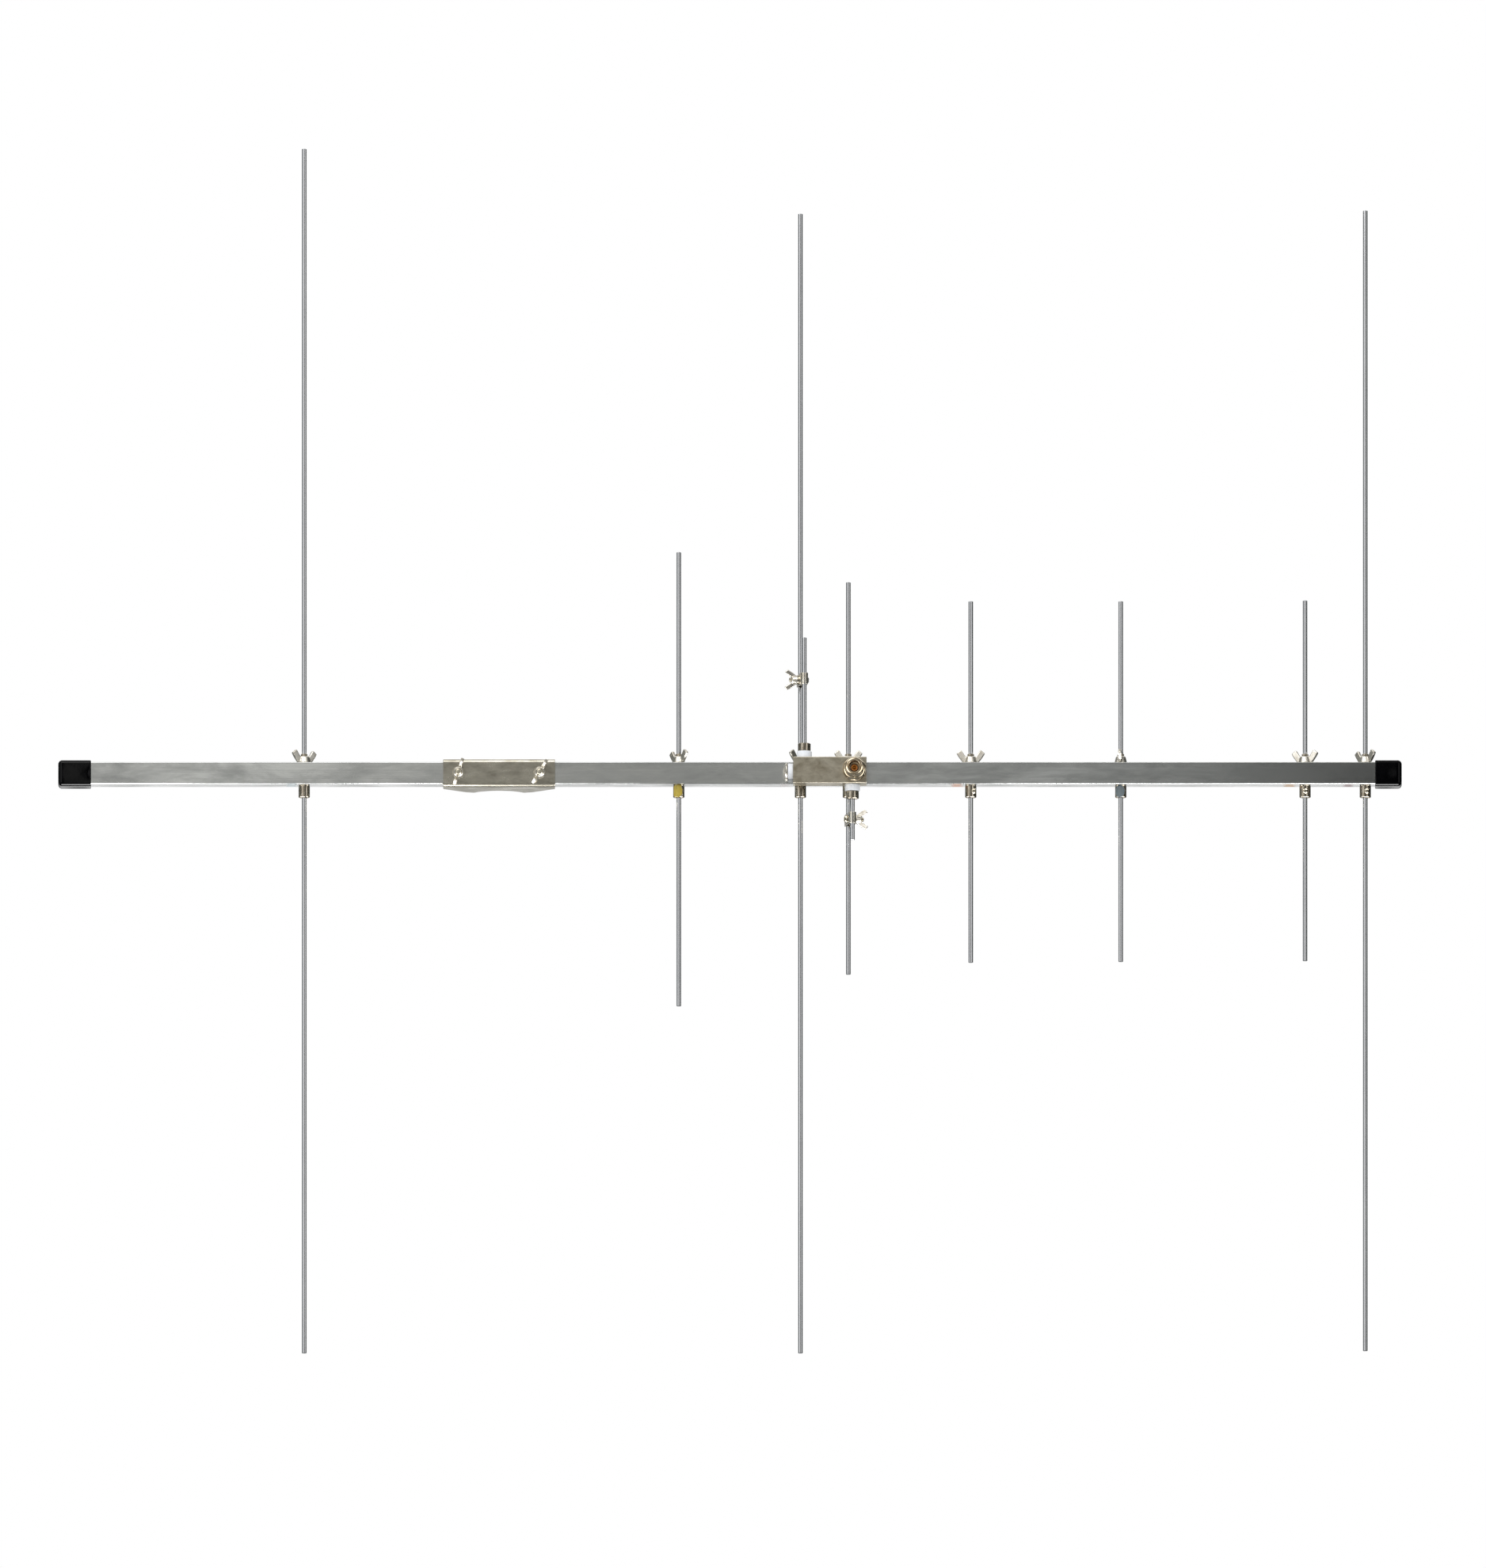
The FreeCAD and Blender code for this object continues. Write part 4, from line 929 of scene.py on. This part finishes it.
def boardMaterial(name, shades):
    material = bpy.data.materials.new(name)
    material.use_nodes = True
    tree = material.node_tree
    tree.nodes.clear()
    glow = addNode(tree, "ShaderNodeEmission", {"Color": linearColour(shades[0][1]), "Strength": 1.0})
    addNode(tree, "ShaderNodeOutputMaterial", links={"Surface": glow.outputs[0]})
    if len(shades) > 1:
        left, right = shades[0][0], shades[-1][0]
        where = addNode(tree, "ShaderNodeTexCoord").outputs["Object"]
        x = addNode(tree, "ShaderNodeSeparateXYZ", links={"Vector": where}).outputs["X"]
        ramp = addNode(tree, "ShaderNodeValToRGB", links={"Fac": spread(tree, x, left, right, 0.0, 1.0)})
        stops = ramp.color_ramp.elements
        for place, colour in shades[1:-1]:
            stops.new((place - left) / (right - left)).color = linearColour(colour)
        stops[0].color, stops[-1].color = linearColour(shades[0][1]), linearColour(shades[-1][1])
        tree.links.new(ramp.outputs["Color"], glow.inputs["Color"])
    return material


def makeBoard(name):
    # a rectangle square to the one axis that has a single value, its corners taken in turn
    b = boardSettings[name]
    fixed = next(axis for axis in "xyz" if isinstance(b[axis], float))
    first, second = [axis for axis in "xyz" if axis != fixed]
    corners = []
    for i, j in ((0, 0), (1, 0), (1, 1), (0, 1)):
        place = {fixed: b[fixed], first: b[first][i], second: b[second][j]}
        corners.append((place["x"], place["y"], place["z"]))
    board = makeStage(name + "_board", corners, boardMaterial(name + "Board", b["shades"]))
    board.visible_camera = False
    board.visible_diffuse = False
    board.visible_shadow = False
    board.visible_transmission = False


for name in boardSettings:
    makeBoard(name)


# Each lamp's place, what it points at, its size and its watts. The key and the fill light the whole
# antenna, and the fill brings out paint and plastic without showing in the metal. Every other lamp
# lights only the pieces listed for it. Low ones draw the bright line along the lower edges of
# sheet, tube and turned pieces, a stronger one that of the black caps, and one overhead lights the
# upper folds. One each side gives the socket its two white gleams, one in front shows the brown
# insert down in its mouth, and one high in front lightens the wing nuts and straps.
socketFront = (0.305, -0.09, 0)
lampSettings = {
    "key_lamp": {"place": (-0.8, -1.6, 2.2), "at": (0.2, 0, 0), "size": (2.4, 2.0), "watts": 29},
    "low_left_lamp": {"place": (-0.86, -0.16, -1.0), "at": (-0.86, boomY, 0), "size": (1.5, 0.62),
                      "watts": 42},
    "low_right_lamp": {"place": (1.2, -0.16, -1.0), "at": (1.2, boomY, 0), "size": (1.6, 0.62), "watts": 42},
    "cap_lamp": {"place": (0.2, -0.16, -1.0), "at": (0.2, boomY, 0), "size": (1.8, 0.62), "watts": 60},
    "fold_lamp": {"place": (0.13, -0.6, 1.0), "at": (0.13, -0.05, 0), "size": (0.9, 1.4), "watts": 5},
    "socket_left_lamp": {"place": (-0.235, -0.48, -0.21), "at": socketFront, "size": (0.7, 0.6), "watts": 3},
    "socket_right_lamp": {"place": (0.845, -0.48, -0.21), "at": socketFront, "size": (0.7, 0.6), "watts": 3},
    "mouth_lamp": {"place": (0.305, -1.5, -0.2), "at": socketFront, "size": (0.3, 0.3), "watts": 20},
    "nut_lamp": {"place": (0.0, -1.6, 1.1), "at": (0.2, 0, 0), "size": (2.8, 1.4), "watts": 18},
    "fill_lamp": {"place": (0.3, -4.5, 1.0), "at": (0.2, 0, 0), "size": (3.0, 2.0), "watts": 50},
}
hiddenInGloss = ("mouth_lamp", "fill_lamp")


def piecesOf(*starts):
    return [obj for obj in bpy.data.objects if obj.name.endswith("_piece") and obj.name.startswith(starts)]


lowLit = [obj for obj in piecesOf("") if obj not in piecesOf("end_cap", "rod_", "socket_")]
lampPieces = {
    "low_left_lamp": lowLit, "low_right_lamp": lowLit, "cap_lamp": piecesOf("end_cap"),
    "fold_lamp": piecesOf("mast_bracket", "feed_box_tray"),
    "socket_left_lamp": piecesOf("socket_shell"), "socket_right_lamp": piecesOf("socket_shell"),
    "mouth_lamp": piecesOf("socket_insert"),
    "nut_lamp": piecesOf("wing_nut", "mast_wing_nut", "strap_", "terminal_cap"),
}


def addLamp(name):
    s = lampSettings[name]
    lamp = bpy.data.lights.new(name, "AREA")
    lamp.shape = "RECTANGLE"
    lamp.size, lamp.size_y = s["size"]
    lamp.energy = s["watts"]
    obj = newObject(name, lamp)
    obj.location = s["place"]
    obj.rotation_euler = (Vector(s["at"]) - Vector(s["place"])).to_track_quat("-Z", "Y").to_euler()
    obj.visible_glossy = name not in hiddenInGloss
    if name in lampPieces:
        lamp.cycles.max_bounces = 0
        receivers = bpy.data.collections.new(name + "_receivers")
        for piece in lampPieces[name]:
            receivers.objects.link(piece)
        obj.light_linking.receiver_collection = receivers
        obj.visible_diffuse = name in hiddenInGloss  # the rest show in gloss alone


for name in lampSettings:
    addLamp(name)

world = bpy.data.worlds.new("studioWorld")
bpy.context.scene.world = world
world.use_nodes = True
worldTree = world.node_tree
worldTree.nodes.clear()
skySettings = {"Color": linearColour(stageSettings["sky"]), "Strength": stageSettings["skyStrength"]}
plainSky = addNode(worldTree, "ShaderNodeBackground", skySettings).outputs[0]
whiteSky = addNode(worldTree, "ShaderNodeBackground", {"Color": (1, 1, 1, 1), "Strength": 1.0}).outputs[0]
skyLinks = {0: whiteRays(worldTree), 1: plainSky, 2: whiteSky}
eitherSky = addNode(worldTree, "ShaderNodeMixShader", links=skyLinks).outputs[0]
addNode(worldTree, "ShaderNodeOutputWorld", links={"Surface": eitherSky})
print("stage and light made")

# Camera: it looks up 8.4 degrees at the boom's underside from far off, so it is an orthographic
# one. scale is the real size of one pixel of the 1876 x 1979 picture, and below is how far the
# picture's middle lies under the boom's axis.
cameraSettings = {"lookUp": 8.4, "scale": 0.68 * mm, "height": 1979, "centreX": 209.4 * mm,
                  "boomAxisY": -38.4 * mm, "below": 8.1 * mm, "distance": 4.0, "reach": 30}


def placeCamera():
    s = cameraSettings
    tilt = math.radians(s["lookUp"])
    forward = Vector((0, math.cos(tilt), math.sin(tilt)))
    upward = Vector((0, -math.sin(tilt), math.cos(tilt)))
    target = Vector((s["centreX"], s["boomAxisY"], 0)) - upward * s["below"]
    camera = bpy.data.cameras.new("camera")
    camera.type = "ORTHO"
    camera.ortho_scale = s["height"] * s["scale"]
    camera.clip_end = s["reach"]
    obj = newObject("camera", camera)
    obj.location = target - forward * s["distance"]
    obj.rotation_euler = forward.to_track_quat("-Z", "Y").to_euler()
    bpy.context.scene.camera = obj


placeCamera()
bpy.context.scene.view_settings.view_transform = "Standard"


print("done")
